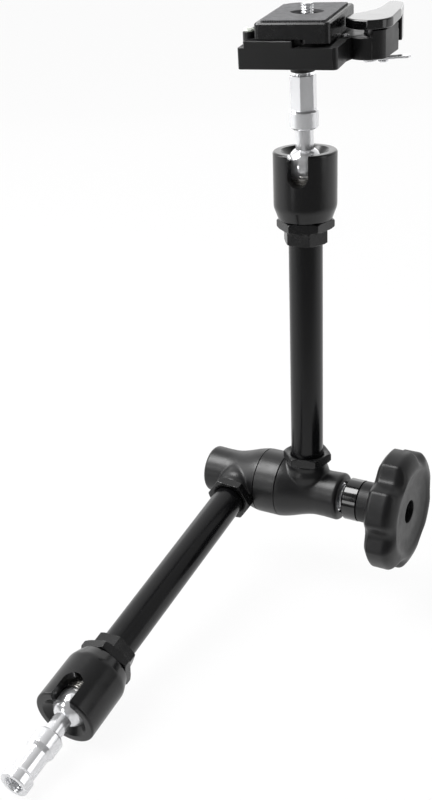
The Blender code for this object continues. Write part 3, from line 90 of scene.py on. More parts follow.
def fillet(corners: Sequence[Corner], steps: int = 4, closed: bool = False) -> Line:
    """Round the corners of a flat line.

    Args:
        corners: Points (x, y) or (x, y, radius); a radius rounds its corner.
        steps: Straight pieces in each rounding.
        closed: Whether the line runs back to its first point.

    Returns:
        The points of the rounded line.
    """
    points: Line = []
    count = len(corners)
    for index, corner in enumerate(corners):
        here = Vector(corner[:2])
        radius = corner[2] if len(corner) > 2 else 0.0
        if radius <= 0 or (not closed and index in (0, count - 1)):
            points.append((here.x, here.y))
            continue
        back = Vector(corners[index - 1][:2]) - here
        ahead = Vector(corners[(index + 1) % count][:2]) - here
        half = back.angle(ahead) / 2
        reach = min(radius / math.tan(half), 0.49 * back.length, 0.49 * ahead.length)
        radius = reach * math.tan(half)
        start = here + back.normalized() * reach
        end = here + ahead.normalized() * reach
        centre = here + (back.normalized() + ahead.normalized()).normalized() * (radius / math.sin(half))
        first = math.atan2(start.y - centre.y, start.x - centre.x)
        last = math.atan2(end.y - centre.y, end.x - centre.x)
        sweep = (last - first + math.pi) % TURN - math.pi
        for step in range(steps + 1):
            angle = first + sweep * step / steps
            points.append((centre.x + radius * math.cos(angle), centre.y + radius * math.sin(angle)))
    return points


def arc(centre: Sequence[float], radius: float, start: float, end: float, steps: int) -> Line:
    """List points along an arc.

    Args:
        centre: Middle of the arc.
        radius: Its radius.
        start: First angle, in degrees.
        end: Last angle, in degrees.
        steps: Straight pieces along it.

    Returns:
        The points, both ends included.
    """
    angles = [math.radians(start + (end - start) * step / steps) for step in range(steps + 1)]
    return [(centre[0] + radius * math.cos(a), centre[1] + radius * math.sin(a)) for a in angles]


def inset(outline: Line, depth: float) -> Line:
    """Move a closed anticlockwise outline inwards, square to its sides.

    Args:
        outline: The points of the outline.
        depth: How far each side moves in.

    Returns:
        The moved points, one for each given.
    """
    points: Line = []
    count = len(outline)
    for index in range(count):
        here = Vector(outline[index])
        before = (here - Vector(outline[index - 1])).normalized()
        after = (Vector(outline[(index + 1) % count]) - here).normalized()
        normals = [Vector((-way.y, way.x)) for way in (before, after)]
        both = normals[0] + normals[1]
        point = here + both * (depth / max(1 + normals[0].dot(normals[1]), 0.3))
        points.append((point.x, point.y))
    return points


def join_rings(shape: bmesh.types.BMesh, rings: list[list[bmesh.types.BMVert]], loop: bool) -> None:
    """Join rings of vertices into a skin; a ring of one vertex is a pole.

    Args:
        shape: The mesh that holds the rings.
        rings: The rings in order.
        loop: Whether the last ring joins the first.
    """
    pairs = list(zip(rings, rings[1:] + rings[:1] if loop else rings[1:]))
    for low, high in pairs:
        count = max(len(low), len(high))
        for index in range(count):
            after = (index + 1) % count
            if len(low) == 1:
                shape.faces.new((low[0], high[after], high[index]))
            elif len(high) == 1:
                shape.faces.new((low[index], low[after], high[0]))
            else:
                shape.faces.new((low[index], low[after], high[after], high[index]))


def turned(profile: Line, sides: int = 96, closed: bool = False) -> bmesh.types.BMesh:
    """Turn a profile of (radius, height) about Z.

    Args:
        profile: The points of the profile.
        sides: Faces round the turned piece.
        closed: Whether the profile runs back to its first point.

    Returns:
        The turned mesh.
    """
    shape = bmesh.new()
    rings = []
    for radius, height in profile:
        if radius < 1e-7:
            rings.append([shape.verts.new((0, 0, height))])
            continue
        rings.append([shape.verts.new((radius * math.cos(TURN * side / sides),
                                       radius * math.sin(TURN * side / sides), height))
                      for side in range(sides)])
    join_rings(shape, rings, closed)
    return shape


def slab(outline: Line, levels: Sequence[tuple[float, float]]) -> bmesh.types.BMesh:
    """Raise an outline through several levels and close both ends.

    Args:
        outline: Closed anticlockwise outline.
        levels: Pairs of inset and height, from the bottom up.

    Returns:
        The raised mesh.
    """
    shape = bmesh.new()
    rings = [[shape.verts.new((x, y, height)) for x, y in inset(outline, depth)] for depth, height in levels]
    join_rings(shape, rings, False)
    shape.faces.new(rings[0])
    shape.faces.new(rings[-1])
    return shape


def rounded_levels(bottom: float, top: float, edge: float, steps: int = 3) -> list[tuple[float, float]]:
    """List the levels of a slab whose two edges are rounded.

    Args:
        bottom: Lower face.
        top: Upper face.
        edge: Radius of both edges.
        steps: Straight pieces in each rounding.

    Returns:
        Pairs of inset and height, from the bottom up.
    """
    levels = []
    for step in range(steps + 1):
        angle = math.pi / 2 * step / steps
        levels.append((edge * (1 - math.sin(angle)), bottom + edge * (1 - math.cos(angle))))
    return levels + [(depth, bottom + top - height) for depth, height in reversed(levels)]


def hexagon_outline(flats: float, corner: float = 0.5 * MM, points_a_side: int = 8) -> Line:
    """List a hexagon with rounded corners and several points along each side.

    Args:
        flats: Width across the flats.
        corner: Radius of the six corners.
        points_a_side: Pieces of each side.

    Returns:
        The outline, anticlockwise.
    """
    reach = flats / math.sqrt(3)
    corners = [(reach * math.cos(TURN * n / 6), reach * math.sin(TURN * n / 6), corner) for n in range(6)]
    steps = 4
    rounded = fillet(corners, steps, True)
    outline: Line = []
    for index, point in enumerate(rounded):
        outline.append(point)
        if index % (steps + 1) == steps:
            after = rounded[(index + 1) % len(rounded)]
            for step in range(1, points_a_side):
                share = step / points_a_side
                outline.append((point[0] + (after[0] - point[0]) * share,
                                point[1] + (after[1] - point[1]) * share))
    return outline


def hexagon_body(flats: float, bottom: float, top: float, bore: float = 0.0, sink: float = 0.0,
                 edge: float = 0.24 * MM) -> bmesh.types.BMesh:
    """Make a hexagon whose corners are trimmed by a cone at both ends.

    Args:
        flats: Width across the flats.
        bottom: Lower face.
        top: Upper face.
        bore: Radius of the hole, or 0 for none.
        sink: Width of the countersink round the hole's upper end.
        edge: Rounding of the trimmed edges.

    Returns:
        The mesh of the hexagon.
    """
    outline = hexagon_outline(flats)
    slope = math.tan(math.radians(TRIM_ANGLE))
    crown = 0.5 * flats * CROWN_SHARE
    shape = bmesh.new()

    def ring(place: Callable[[float], tuple[float, float]]) -> list[bmesh.types.BMVert]:
        """Place one ring; it gets each outline point's distance and gives radius and height.

        Args:
            place: Turns a distance into a radius and a height.

        Returns:
            The ring's vertices.
        """
        verts = []
        for x, y in outline:
            distance = math.hypot(x, y)
            radius, height = place(distance)
            verts.append(shape.verts.new((x * radius / distance, y * radius / distance, height)))
        return verts

    def end_rings(end: float, way: float) -> list[list[bmesh.types.BMVert]]:
        """Place an end's three rings: its flat face, its trimmed cone and its broken edge.

        Args:
            end: Height of the end's face.
            way: 1 at the upper end and -1 at the lower one.

        Returns:
            The rings, the flat face's first.
        """
        return [ring(lambda d: (min(d - 2 * edge, crown - edge), end)),
                ring(lambda d: (d - edge, end - way * max(d - edge - crown, 0.0) * slope)),
                ring(lambda d: (d, end - way * (max(d - crown, 0.0) * slope + edge)))]

    rings = end_rings(bottom, -1) + end_rings(top, 1)[::-1]
    if bore:
        rings += [ring(lambda d: (bore + sink, top)), ring(lambda d: (bore, top - SINK_SHARE * sink)),
                  ring(lambda d: (bore, bottom))]
        join_rings(shape, rings, True)
    else:
        join_rings(shape, rings, False)
        shape.faces.new(rings[0])
        shape.faces.new(rings[-1])
    return shape


def thread(radius: float, depth: float, pitch: float, bottom: float, top: float,
           sides: int = 40) -> bmesh.types.BMesh:
    """Cut a screw thread on a round bar, with both ends open.

    Args:
        radius: Radius of the bar; the thread is cut inwards, or outwards if depth is negative.
        depth: Depth of the thread.
        pitch: Distance between two turns.
        bottom: Lower end.
        top: Upper end.
        sides: Faces round the bar.

    Returns:
        The threaded skin.
    """
    shape = bmesh.new()
    rows = max(int((top - bottom) / pitch * THREAD_ROWS), 2)
    rings = []
    for row in range(rows + 1):
        height = bottom + (top - bottom) * row / rows
        fade = min(1.0, (top - height) / pitch, (height - bottom) / pitch)
        ring = []
        for side in range(sides):
            phase = (height / pitch - side / sides) % 1.0
            crest = min(abs(phase - 0.5) * THREAD_FLANK, 1.0)
            out = radius - depth * (1 - crest) * max(fade, 0.0)
            angle = TURN * side / sides
            ring.append(shape.verts.new((out * math.cos(angle), out * math.sin(angle), height)))
        rings.append(ring)
    join_rings(shape, rings, False)
    return shape


def merged(*shapes: bmesh.types.BMesh) -> bmesh.types.BMesh:
    """Put several closed skins in one mesh, and free the others.

    Args:
        shapes: The skins.

    Returns:
        The mesh that holds them all.
    """
    whole = bmesh.new()
    for shape in shapes:
        mesh = bpy.data.meshes.new("skin")
        shape.to_mesh(mesh)
        shape.free()
        whole.from_mesh(mesh)
        bpy.data.meshes.remove(mesh)
    return whole


def moved(shape: bmesh.types.BMesh, matrix: Matrix) -> bmesh.types.BMesh:
    """Move a mesh by a matrix and return it."""
    bmesh.ops.transform(shape, matrix=matrix, verts=shape.verts)
    return shape


def new_object(name: str, shape: bmesh.types.BMesh, frame: Matrix,
               sharp: float = SHARP_ANGLE) -> bpy.types.Object:
    """Turn a mesh into an object with smooth faces and clean edges.

    Args:
        name: Name of the object.
        shape: The mesh, in the object's own frame; it is freed.
        frame: Where the object stands.
        sharp: Edges over this angle, in degrees, stay sharp.

    Returns:
        The new object.
    """
    bmesh.ops.recalc_face_normals(shape, faces=shape.faces)
    mesh = bpy.data.meshes.new(name)
    shape.to_mesh(mesh)
    shape.free()
    mesh.shade_smooth()
    mesh.set_sharp_from_angle(angle=math.radians(sharp))
    piece = bpy.data.objects.new(name, mesh)
    piece.matrix_world = frame
    bpy.context.scene.collection.objects.link(piece)
    return piece


def settle(piece: bpy.types.Object, sharp: float = SHARP_ANGLE) -> None:
    """Write a piece's modifiers into its mesh.

    Args:
        piece: The piece.
        sharp: Edges over this angle, in degrees, stay sharp.
    """
    bpy.context.view_layer.update()
    evaluated = piece.evaluated_get(bpy.context.evaluated_depsgraph_get())
    mesh = bpy.data.meshes.new_from_object(evaluated)
    old = piece.data
    piece.modifiers.clear()
    piece.data = mesh
    bpy.data.meshes.remove(old)
    mesh.name = piece.name
    mesh.shade_smooth()
    mesh.set_sharp_from_angle(angle=math.radians(sharp))


def carve(piece: bpy.types.Object, cutters: Sequence[bmesh.types.BMesh], overlapping: bool = False) -> None:
    """Cut shapes, given in the piece's frame, away from it.

    Args:
        piece: The piece to cut.
        cutters: Closed meshes to take away.
        overlapping: Whether the piece is made of several skins, which the first cut unites.
    """
    for number, cutter in enumerate(cutters):
        tool = new_object(f"{piece.name}_tool_{number}", cutter, piece.matrix_world)
        step = piece.modifiers.new(tool.name, "BOOLEAN")
        step.operation = "DIFFERENCE"
        step.solver = "EXACT"
        step.use_self = overlapping and number == 0
        step.object = tool
        settle(piece)
        bpy.data.objects.remove(tool, do_unlink=True)


def ease_edges(piece: bpy.types.Object, width: float, angle: float = 40.0, segments: int = 2) -> None:
    """Break the sharp edges of a piece.

    Args:
        piece: The piece.
        width: Width of the broken edge.
        angle: Edges over this angle, in degrees, are broken.
        segments: Faces across the broken edge.
    """
    step = piece.modifiers.new("Eased edges", "BEVEL")
    step.width = width
    step.segments = segments
    step.limit_method = "ANGLE"
    step.angle_limit = math.radians(angle)
    step.use_clamp_overlap = True
    settle(piece, EASED_SHARP_ANGLE)


# ---------------------------------------------------------------- finishes


def linear(colour: str) -> tuple[float, float, float, float]:
    """Turn an sRGB hex colour into Blender's linear values, alpha last.

    Args:
        colour: The colour as #RRGGBB.

    Returns:
        Red, green, blue and alpha.
    """
    parts = [int(colour[place:place + 2], 16) / 255 for place in (1, 3, 5)]
    values = [part / 12.92 if part <= 0.04045 else ((part + 0.055) / 1.055) ** 2.4 for part in parts]
    return (values[0], values[1], values[2], 1.0)


def add_node(tree: bpy.types.NodeTree, kind: str, settings: dict[str, Any] | None = None,
             links: dict[str | int, bpy.types.NodeSocket] | None = None) -> bpy.types.Node:
    """Add a node to a tree.

    Args:
        tree: The tree.
        kind: Blender's name of the node type.
        settings: Values of its sockets, or of its own fields, by name.
        links: Sockets that feed its inputs, by the input's name or place.

    Returns:
        The new node.
    """
    node = tree.nodes.new(kind)
    for name, value in (settings or {}).items():
        if name in node.inputs:
            node.inputs[name].default_value = value
        else:
            setattr(node, name, value)
    for name, socket in (links or {}).items():
        tree.links.new(socket, node.inputs[name])
    return node


class Grain(Enum):
    """How the surface of a finish was made."""

    TURNED = "turned"
    SPRAYED = "sprayed"
    MOULDED = "moulded"
    PRESSED = "pressed"


@dataclass(frozen=True)
class Finish:
    """One real finish: its colour, shine and the grain its making leaves."""

    name: str
    colour: str
    second_colour: str
    roughness: float
    roughness_swing: float
    grain: Grain
    grain_size: float
    grain_height: float
    cloud_size: float = 9 * MM
    metallic: float = 0.0
    ior: float | None = None
    coat: float = 0.0
    coat_roughness: float = 0.05
    specular: float | None = None
    transmission: float = 0.0

    def build(self) -> bpy.types.Material:
        """Make the material, its clouds of colour and shine, and its grain.

        Returns:
            The new material.
        """
        material = bpy.data.materials.new(self.name)
        material.use_nodes = True
        material.diffuse_color = linear(self.colour)
        tree = material.node_tree
        tree.nodes.clear()
        place = add_node(tree, "ShaderNodeTexCoord").outputs["Object"]
        clouds = add_node(tree, "ShaderNodeTexNoise", {"Scale": 1 / self.cloud_size, "Detail": 3.0,
                                                       "Roughness": 0.6}, {"Vector": place}).outputs["Fac"]
        tone = add_node(tree, "ShaderNodeMix", {"data_type": "RGBA"}, {"Factor": clouds})
        tone.inputs[MIX_A].default_value = linear(self.colour)
        tone.inputs[MIX_B].default_value = linear(self.second_colour)
        shine = add_node(tree, "ShaderNodeMapRange", {"From Min": 0.3, "From Max": 0.7,
                                                      "To Min": self.roughness - self.roughness_swing,
                                                      "To Max": self.roughness + self.roughness_swing},
                         {"Value": clouds})
        bump = add_node(tree, "ShaderNodeBump", {"Strength": 1.0, "Distance": self.grain_height},
                        {"Height": self.relief(tree, place)})
        settings: dict[str, Any] = {"Metallic": self.metallic, "Coat Weight": self.coat,
                                    "Coat Roughness": self.coat_roughness,
                                    "Transmission Weight": self.transmission}
        if self.ior is not None:
            settings["IOR"] = self.ior
        if self.specular is not None:
            settings["Specular IOR Level"] = self.specular
        shader = add_node(tree, "ShaderNodeBsdfPrincipled", settings,
                          {"Base Color": tone.outputs[MIX_RESULT], "Roughness": shine.outputs["Result"],
                           "Normal": bump.outputs["Normal"]})
        add_node(tree, "ShaderNodeOutputMaterial", {}, {"Surface": shader.outputs["BSDF"]})
        return material

    def relief(self, tree: bpy.types.NodeTree, place: bpy.types.NodeSocket) -> bpy.types.NodeSocket:
        """Make the height pattern that the finish's making leaves.

        Args:
            tree: The material's tree.
            place: Coordinates in metres.

        Returns:
            The socket that carries the height.
        """
        if self.grain is Grain.TURNED:
            rings = add_node(tree, "ShaderNodeTexWave",
                             {"wave_type": "BANDS", "bands_direction": "Z", "Distortion": 0.6, "Detail": 2.0,
                              "Detail Scale": 1.5, "Scale": WAVE_PERIOD / self.grain_size}, {"Vector": place})
            return rings.outputs["Fac"]
        if self.grain is Grain.PRESSED:
            cells = add_node(tree, "ShaderNodeTexVoronoi", {"feature": "F1", "Scale": 1 / self.grain_size},
                             {"Vector": place})
            return cells.outputs["Distance"]
        detail = 1.5 if self.grain is Grain.SPRAYED else 4.0
        peel = add_node(tree, "ShaderNodeTexNoise", {"Scale": 1 / self.grain_size, "Detail": detail,
                                                     "Roughness": 0.55}, {"Vector": place})
        return peel.outputs["Fac"]


# Chrome plate over turned and polished steel: a near-white mirror with faint turning rings.
CHROME = Finish("chrome_plate_on_turned_steel", "#FAFAFC", "#F2F3F5", 0.13, 0.03, Grain.TURNED, 0.35 * MM,
                0.0000012, metallic=0.72)
# Zinc plate on plain steel: a duller, slightly blue metal.
ZINC = Finish("zinc_plate_on_steel", "#B9BCC0", "#A6A9AE", 0.26, 0.06, Grain.TURNED, 0.5 * MM, 0.000004,
              metallic=1.0)
# Stoved black enamel on cast aluminium: satin black with a fine orange peel.
ENAMEL = Finish("stoved_enamel_on_cast_aluminium", "#121213", "#0E0E0F", 0.36, 0.05, Grain.SPRAYED, 0.9 * MM,
                0.000004, cloud_size=6 * MM, ior=1.5)
# The same enamel on turned and milled pieces: tighter, with a little more shine.
ENAMEL_NUT = Finish("stoved_enamel_on_milled_steel", "#101011", "#0C0C0D", 0.25, 0.05, Grain.SPRAYED,
                    0.8 * MM, 0.000002, cloud_size=4 * MM, ior=1.5)
# Gloss enamel on the turned cups: black and smooth, with clear soft-edged reflections.
CUP_ENAMEL = Finish("gloss_enamel_on_turned_aluminium", "#0D0D0E", "#0A0A0B", 0.2, 0.04, Grain.SPRAYED,
                    1.6 * MM, 0.0000015, ior=1.5)
# Black anodised aluminium tube, drawn: deep black with a soft sheen and faint rings.
ANODISED = Finish("black_anodised_drawn_aluminium", "#0C0C0E", "#09090A", 0.2, 0.04, Grain.TURNED, 0.8 * MM,
                  0.000002, ior=1.5, specular=0.38)
# Gloss black lacquer: a mirror-like black.
LACQUER = Finish("gloss_black_lacquer_on_zinc_casting", "#090909", "#0C0C0D", 0.14, 0.03, Grain.SPRAYED,
                 1.4 * MM, 0.000006, ior=1.5, coat=0.5)
# Moulded soft rubber of the knob: satin, with a fine pebble that scatters the highlights.
RUBBER = Finish("moulded_black_rubber", "#131314", "#0F0F10", 0.38, 0.05, Grain.MOULDED, 0.7 * MM, 0.00001,
                cloud_size=7 * MM, ior=1.5, specular=0.38)
# Pressed rubber-cork pad of the camera plate: matt, with a fine cell pattern; its mid grey is lightened past
# the rubber's own darker grey as painted sheen, standing in for the glancing reflection on its top.
PAD = Finish("pressed_rubber_pad", "#6A6A6C", "#4E4E50", 0.62, 0.08, Grain.PRESSED, 0.8 * MM, 0.00006,
             cloud_size=3 * MM, ior=1.5)
# Sintered bronze: dull gold with open grain.
BRONZE = Finish("sintered_bronze", "#B08A55", "#96733F", 0.42, 0.08, Grain.PRESSED, 0.4 * MM, 0.00001,
                metallic=1.0)
# Bright tinned bronze of the ball seats: pale, with turning rings.
TINNED = Finish("tinned_and_turned_bronze", "#DEDCD8", "#CFCCC6", 0.2, 0.05, Grain.TURNED, 0.4 * MM, 0.000003,
                metallic=0.85)
# Pressed friction lining: brown-grey and matt.
LINING = Finish("pressed_friction_lining", "#6B655C", "#4E4942", 0.8, 0.08, Grain.PRESSED, 0.7 * MM, 0.00003)
# Natural nylon: waxy off-white.
NYLON = Finish("moulded_natural_nylon", "#DAD8D0", "#CFCCC2", 0.42, 0.05, Grain.MOULDED, 0.8 * MM, 0.00001,
               ior=1.53)
# Cast acrylic of the spirit level: pale and glossy.
ACRYLIC = Finish("cast_acrylic", "#EEF1EA", "#E2E8DC", 0.08, 0.02, Grain.MOULDED, 1.5 * MM, 0.000003,
                 ior=1.49, transmission=0.25)


class Slot(Enum):
    """The record's material slots of the new pieces; the script names them but gives no piece a slot."""

    CHROME = "chrome"
    ZINC = "zinc_steel"
    ENAMEL = "black_enamel"
    GLOSS = "gloss_black"
    ANODISED = "black_anodised"
    RUBBER = "black_rubber"
    PAD = "pad_rubber"
    BRONZE = "bronze"
    VIAL = "vial"


class Paintshop:
    """Keeps one material for each finish and puts the dressed pieces on the frame."""

    def __init__(self, nodes: dict[str, bpy.types.Object]) -> None:
        """Remember the frame's nodes.

        Args:
            nodes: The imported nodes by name.
        """
        self.nodes = nodes
        self.materials: dict[str, bpy.types.Material] = {}

    def material(self, finish: Finish) -> bpy.types.Material:
        """Give the finish's material, made once.

        Args:
            finish: The finish.

        Returns:
            Its material.
        """
        if finish.name not in self.materials:
            self.materials[finish.name] = finish.build()
        return self.materials[finish.name]

    def fit(self, piece: bpy.types.Object, node: str, finish: Finish) -> bpy.types.Object:
        """Dress a piece and let it stand for a node on the node's body.

        Args:
            piece: The new piece, already in place.
            node: The node that it stands for.
            finish: Its finish.

        Returns:
            The piece.
        """
        piece.data.materials.clear()
        piece.data.materials.append(self.material(finish))
        step = piece.modifiers.new("Even shading", "WEIGHTED_NORMAL")
        step.keep_sharp = True
        step.weight = 100
        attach(piece, self.nodes[node]["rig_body"])
        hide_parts(node)
        LOG.info("%s: %d faces, %s", piece.name, len(piece.data.polygons), finish.name)
        return piece

    def dress(self, node: str, finish: Finish) -> None:
        """Give a node that stays its finish.

        Args:
            node: The node.
            finish: Its finish.
        """
        for place in self.nodes[node].material_slots:
            place.material = self.material(finish)
        LOG.info("%s: kept, %s", node, finish.name)


# ---------------------------------------------------------------- sub-assemblies


@dataclass(frozen=True)
class Layout:
    """Where the members stand in the photographed pose."""

    elbow_angle: float = math.radians(102.1)
    arm_spacing: float = 41.8 * MM
    ball_distance: float = 199.5 * MM
    spigot_end: float = 52.3 * MM
    lower_slot_angle: float = math.radians(6.0)
    upper_slot_angle: float = math.radians(11.3)
    upper_tilt: float = math.radians(3.9)
    clamp_turn: float = math.radians(10.0)

    def elbow(self) -> Vector:
        """Give the point where the hinge crosses the lower tube's axis."""
        turn = Matrix.Rotation(self.elbow_angle, 4, "X")
        return -(turn @ Vector((0, 0, self.ball_distance + self.spigot_end)))

    def lower(self) -> Matrix:
        """Give the lower arm's frame: Z along its tube, away from the elbow."""
        return Matrix.Translation(self.elbow()) @ Matrix.Rotation(self.elbow_angle, 4, "X")

    def upper(self) -> Matrix:
        """Give the upper arm's frame."""
        return Matrix.Translation(self.elbow() + Vector((self.arm_spacing, 0, 0)))

    def hinge(self) -> Matrix:
        """Give the hinge's frame: Z along the hinge, from the lower tube to the knob."""
        return Matrix.Translation(self.elbow()) @ Matrix.Rotation(math.pi / 2, 4, "Y")

    def lower_ball(self) -> Matrix:
        """Give the lower ball's frame."""
        return self.lower() @ Matrix.Translation((0, 0, self.ball_distance))

    def upper_centre(self) -> Matrix:
        """Give the upper socket's frame."""
        return self.upper() @ Matrix.Translation((0, 0, self.ball_distance))

    def upper_ball(self) -> Matrix:
        """Give the upper ball's frame, leaning into its slot."""
        axis = Vector((math.cos(self.upper_slot_angle), math.sin(self.upper_slot_angle), 0))
        return self.upper_centre() @ Matrix.Rotation(self.upper_tilt, 4, axis)

    def clamp(self) -> Matrix:
        """Give the camera clamp's frame."""
        return self.upper_ball() @ Matrix.Rotation(self.clamp_turn, 4, "Z")


class Side(Enum):
    """The two arms."""

    LOWER = "lower"
    UPPER = "upper"


@dataclass
class Arm:
    """One tube with its half of the elbow, its nuts and its socket bush."""

    side: Side
    frame: Matrix
    nut_turn: float
    tube_radius: float = 9.525 * MM
    tube_wall: float = 1.9 * MM
    tube_start: float = 13.0 * MM
    tube_end: float = 160.0 * MM
    half_spacing: float = 20.9 * MM
    face: float = 7.45 * MM
    shoulder_radius: float = 20.0 * MM
    waist_radius: float = 14.1 * MM
    end_radius: float = 14.5 * MM
    end_round: float = 2.2 * MM
    end_start: float = 36.0 * MM
    half_length: float = 45.0 * MM
    flare_start: float = 4.0 * MM
    flare_length: float = 28.0 * MM
    boss_radius: float = 12.2 * MM
    boss_flare: float = 1.1 * MM
    boss_length: float = 20.0 * MM
    boss_blend: float = 1.1 * MM
    boss_edge: float = 0.6 * MM
    boss_cylinder: float = 2.5 * MM
    boss_fade: float = 4.5 * MM
    voxel: float = 0.5 * MM
    main_bore: float = 10.2 * MM
    bore_depth: float = 35.0 * MM
    sleeve_hole: float = 8.3 * MM
    washer_seat: float = 9.6 * MM
    washer_seat_depth: float = 3.2 * MM
    tube_nut_flats: float = 25.4 * MM
    tube_nut_height: float = 5.5 * MM
    nut_sink: float = 1.6 * MM
    bush_flats: float = 22.4 * MM
    bush_bottom: float = 156.5 * MM
    bush_top: float = 164.3 * MM
    bush_turn: float = math.radians(4.0)
    jam_nut_flats: float = 28.0 * MM
    jam_nut_height: float = 5.3 * MM
    jam_nut_turn: float = math.radians(20.0)
    thread_radius: float = 11.5 * MM
    thread_top: float = 182.3 * MM
    clear: float = 0.3 * MM

    def way(self) -> int:
        """Tell which way along the hinge this half of the elbow points."""
        return -1 if self.side is Side.LOWER else 1

    def hinge_matrix(self) -> Matrix:
        """Place the hinge axis in this arm's frame, Z away from the elbow's middle."""
        middle = Matrix.Translation((-self.way() * self.half_spacing, 0, 0))
        return middle @ Matrix.Rotation(self.way() * math.pi / 2, 4, "Y")

    def casting_radius(self, distance: np.ndarray) -> np.ndarray:
        """Give the casting's radius at distances from the elbow's middle.

        Args:
            distance: Distances along the hinge.

        Returns:
            The radii.
        """
        share = np.clip((distance - self.flare_start) / self.flare_length, 0.0, 1.0)
        swell = (self.shoulder_radius - self.waist_radius) * (1 + np.cos(np.pi * share)) / 2
        flare = self.waist_radius + swell
        end = np.clip((distance - self.end_start) / (self.half_length - self.end_start), 0.0, 1.0)
        return flare + (self.end_radius - self.waist_radius) * end

    def casting_distance(self, points: np.ndarray) -> np.ndarray:
        """Give the distance of points in the arm's frame from the casting's skin.

        Args:
            points: Rows of X, Y and Z.

        Returns:
            The distances, negative inside.
        """
        along = self.way() * (points[:, 0] + self.way() * self.half_spacing)
        radial = np.hypot(points[:, 1], points[:, 2])
        body = rounded_edge(radial - self.casting_radius(along), along - self.half_length, self.end_round)
        across = np.hypot(points[:, 0], points[:, 1])
        lower = np.clip((self.boss_length - self.boss_cylinder - points[:, 2]) / self.boss_fade, 0.0, 1.0)
        boss_radius = self.boss_radius + self.boss_flare * lower * lower * (3 - 2 * lower)
        boss = rounded_edge(across - boss_radius, points[:, 2] - self.boss_length, self.boss_edge)
        boss = np.maximum(boss, -points[:, 2] - 2 * MM)
        mix = np.clip(0.5 + 0.5 * (boss - body) / self.boss_blend, 0.0, 1.0)
        return boss * (1 - mix) + body * mix - self.boss_blend * mix * (1 - mix)

    def build_casting(self, shop: Paintshop) -> None:
        """Cast the elbow half, its boss blended into it, and bore it.

        Args:
            shop: Dresses the pieces and puts them on their bodies.
        """
        node = f"{self.side.value}_housing"
        start = self.face - 3 * MM
        steps = 23
        profile: Line = [(0.0, start)]
        for step in range(steps + 1):
            distance = start + (self.half_length - start) * step / steps
            radius = float(self.casting_radius(np.array([distance]))[0])
            profile.append((radius - (1.2 * MM if step == steps else 0.0), distance))
        profile.append((0.0, self.half_length))
        body = moved(turned(profile), self.hinge_matrix())
        boss = turned([(0.0, 0.0), (self.boss_radius + self.boss_flare, 0.0),
                       (self.boss_radius, self.boss_length - 4 * MM),
                       (self.boss_radius, self.boss_length), (0.0, self.boss_length)])
        piece = new_object(f"{self.side.value}_casting", merged(body, boss), self.frame)
        remesh = piece.modifiers.new("Skin", "REMESH")
        remesh.mode = "VOXEL"
        remesh.voxel_size = self.voxel
        settle(piece)
        self.draw_to_skin(piece)
        cut_face(piece, self.hinge_matrix(), self.face)
        hinge = self.hinge_matrix()
        bores = [moved(bar(self.main_bore, -PAST, self.bore_depth), hinge),
                 bar(self.tube_radius + self.clear, self.tube_start - self.clear, self.boss_length + PAST)]
        if self.side is Side.UPPER:
            floor = self.half_length - self.washer_seat_depth
            bores.append(moved(bar(self.sleeve_hole, self.bore_depth - MM, floor + MM), hinge))
            bores.append(moved(bar(self.washer_seat, floor, self.half_length + MM), hinge))
        carve(piece, bores)
        shop.fit(piece, node, ENAMEL)

    def draw_to_skin(self, piece: bpy.types.Object) -> None:
        """Draw every vertex onto the casting's exact skin.

        Args:
            piece: The casting, in the arm's frame.
        """
        mesh = piece.data
        points = np.zeros(len(mesh.vertices) * 3)
        mesh.vertices.foreach_get("co", points)
        points = points.reshape(-1, 3)
        rounds, step, reach, least_slope = 4, 0.02 * MM, 0.6 * MM, 0.2
        for _ in range(rounds):
            here = self.casting_distance(points)
            slope = np.stack([(self.casting_distance(points + np.eye(3)[axis] * step) - here) / step
                              for axis in range(3)], axis=1)
            length = np.maximum((slope ** 2).sum(axis=1), least_slope)
            points -= slope * np.clip(here / length, -reach, reach)[:, None]
        mesh.vertices.foreach_set("co", points.ravel())
        mesh.update()

    def build_tube(self, shop: Paintshop) -> None:
        """Draw the tube.

        Args:
            shop: Dresses the pieces and puts them on their bodies.
        """
        inner = self.tube_radius - self.tube_wall
        profile = fillet([(radius, height, 0.3 * MM) for radius, height in (
            (self.tube_radius, self.tube_end), (self.tube_radius, self.tube_start),
            (inner, self.tube_start), (inner, self.tube_end))], 2, True)
        piece = new_object(f"{self.side.value}_drawn_tube", turned(profile, 128, True), self.frame)
        shop.fit(piece, f"{self.side.value}_tube", ANODISED)

    def build_nuts(self, shop: Paintshop) -> None:
        """Mill the tube nut, the socket bush and its jam nut.

        Args:
            shop: Dresses the pieces and puts them on their bodies.
        """
        bore = self.tube_radius + self.clear
        bottom = self.boss_length + self.clear
        tube_nut = hexagon_body(self.tube_nut_flats, bottom, bottom + self.tube_nut_height,
                                bore, self.nut_sink)
        bush = hexagon_body(self.bush_flats, self.bush_bottom, self.bush_top, bore, 0.1 * MM)
        neck = turned(fillet([(0.0, self.thread_top), (self.thread_radius, self.thread_top, 0.7 * MM),
                              (self.thread_radius, self.bush_top - MM), (0.0, self.bush_top - MM)]))
        bottom = self.bush_top + self.clear
        jam_nut = hexagon_body(self.jam_nut_flats, bottom, bottom + self.jam_nut_height,
                               self.thread_radius + self.clear, self.nut_sink)
        for name, node, shape, turn in (("elbow_nut", "tube_nut", tube_nut, self.nut_turn),
                                        ("hexagon_bush", "socket_bush", merged(bush, neck), self.bush_turn),
                                        ("lock_nut", "jam_nut", jam_nut, self.jam_nut_turn)):
            frame = self.frame @ Matrix.Rotation(turn, 4, "Z")
            piece = new_object(f"{self.side.value}_{name}", shape, frame)
            shop.fit(piece, f"{self.side.value}_{node}", ENAMEL_NUT)

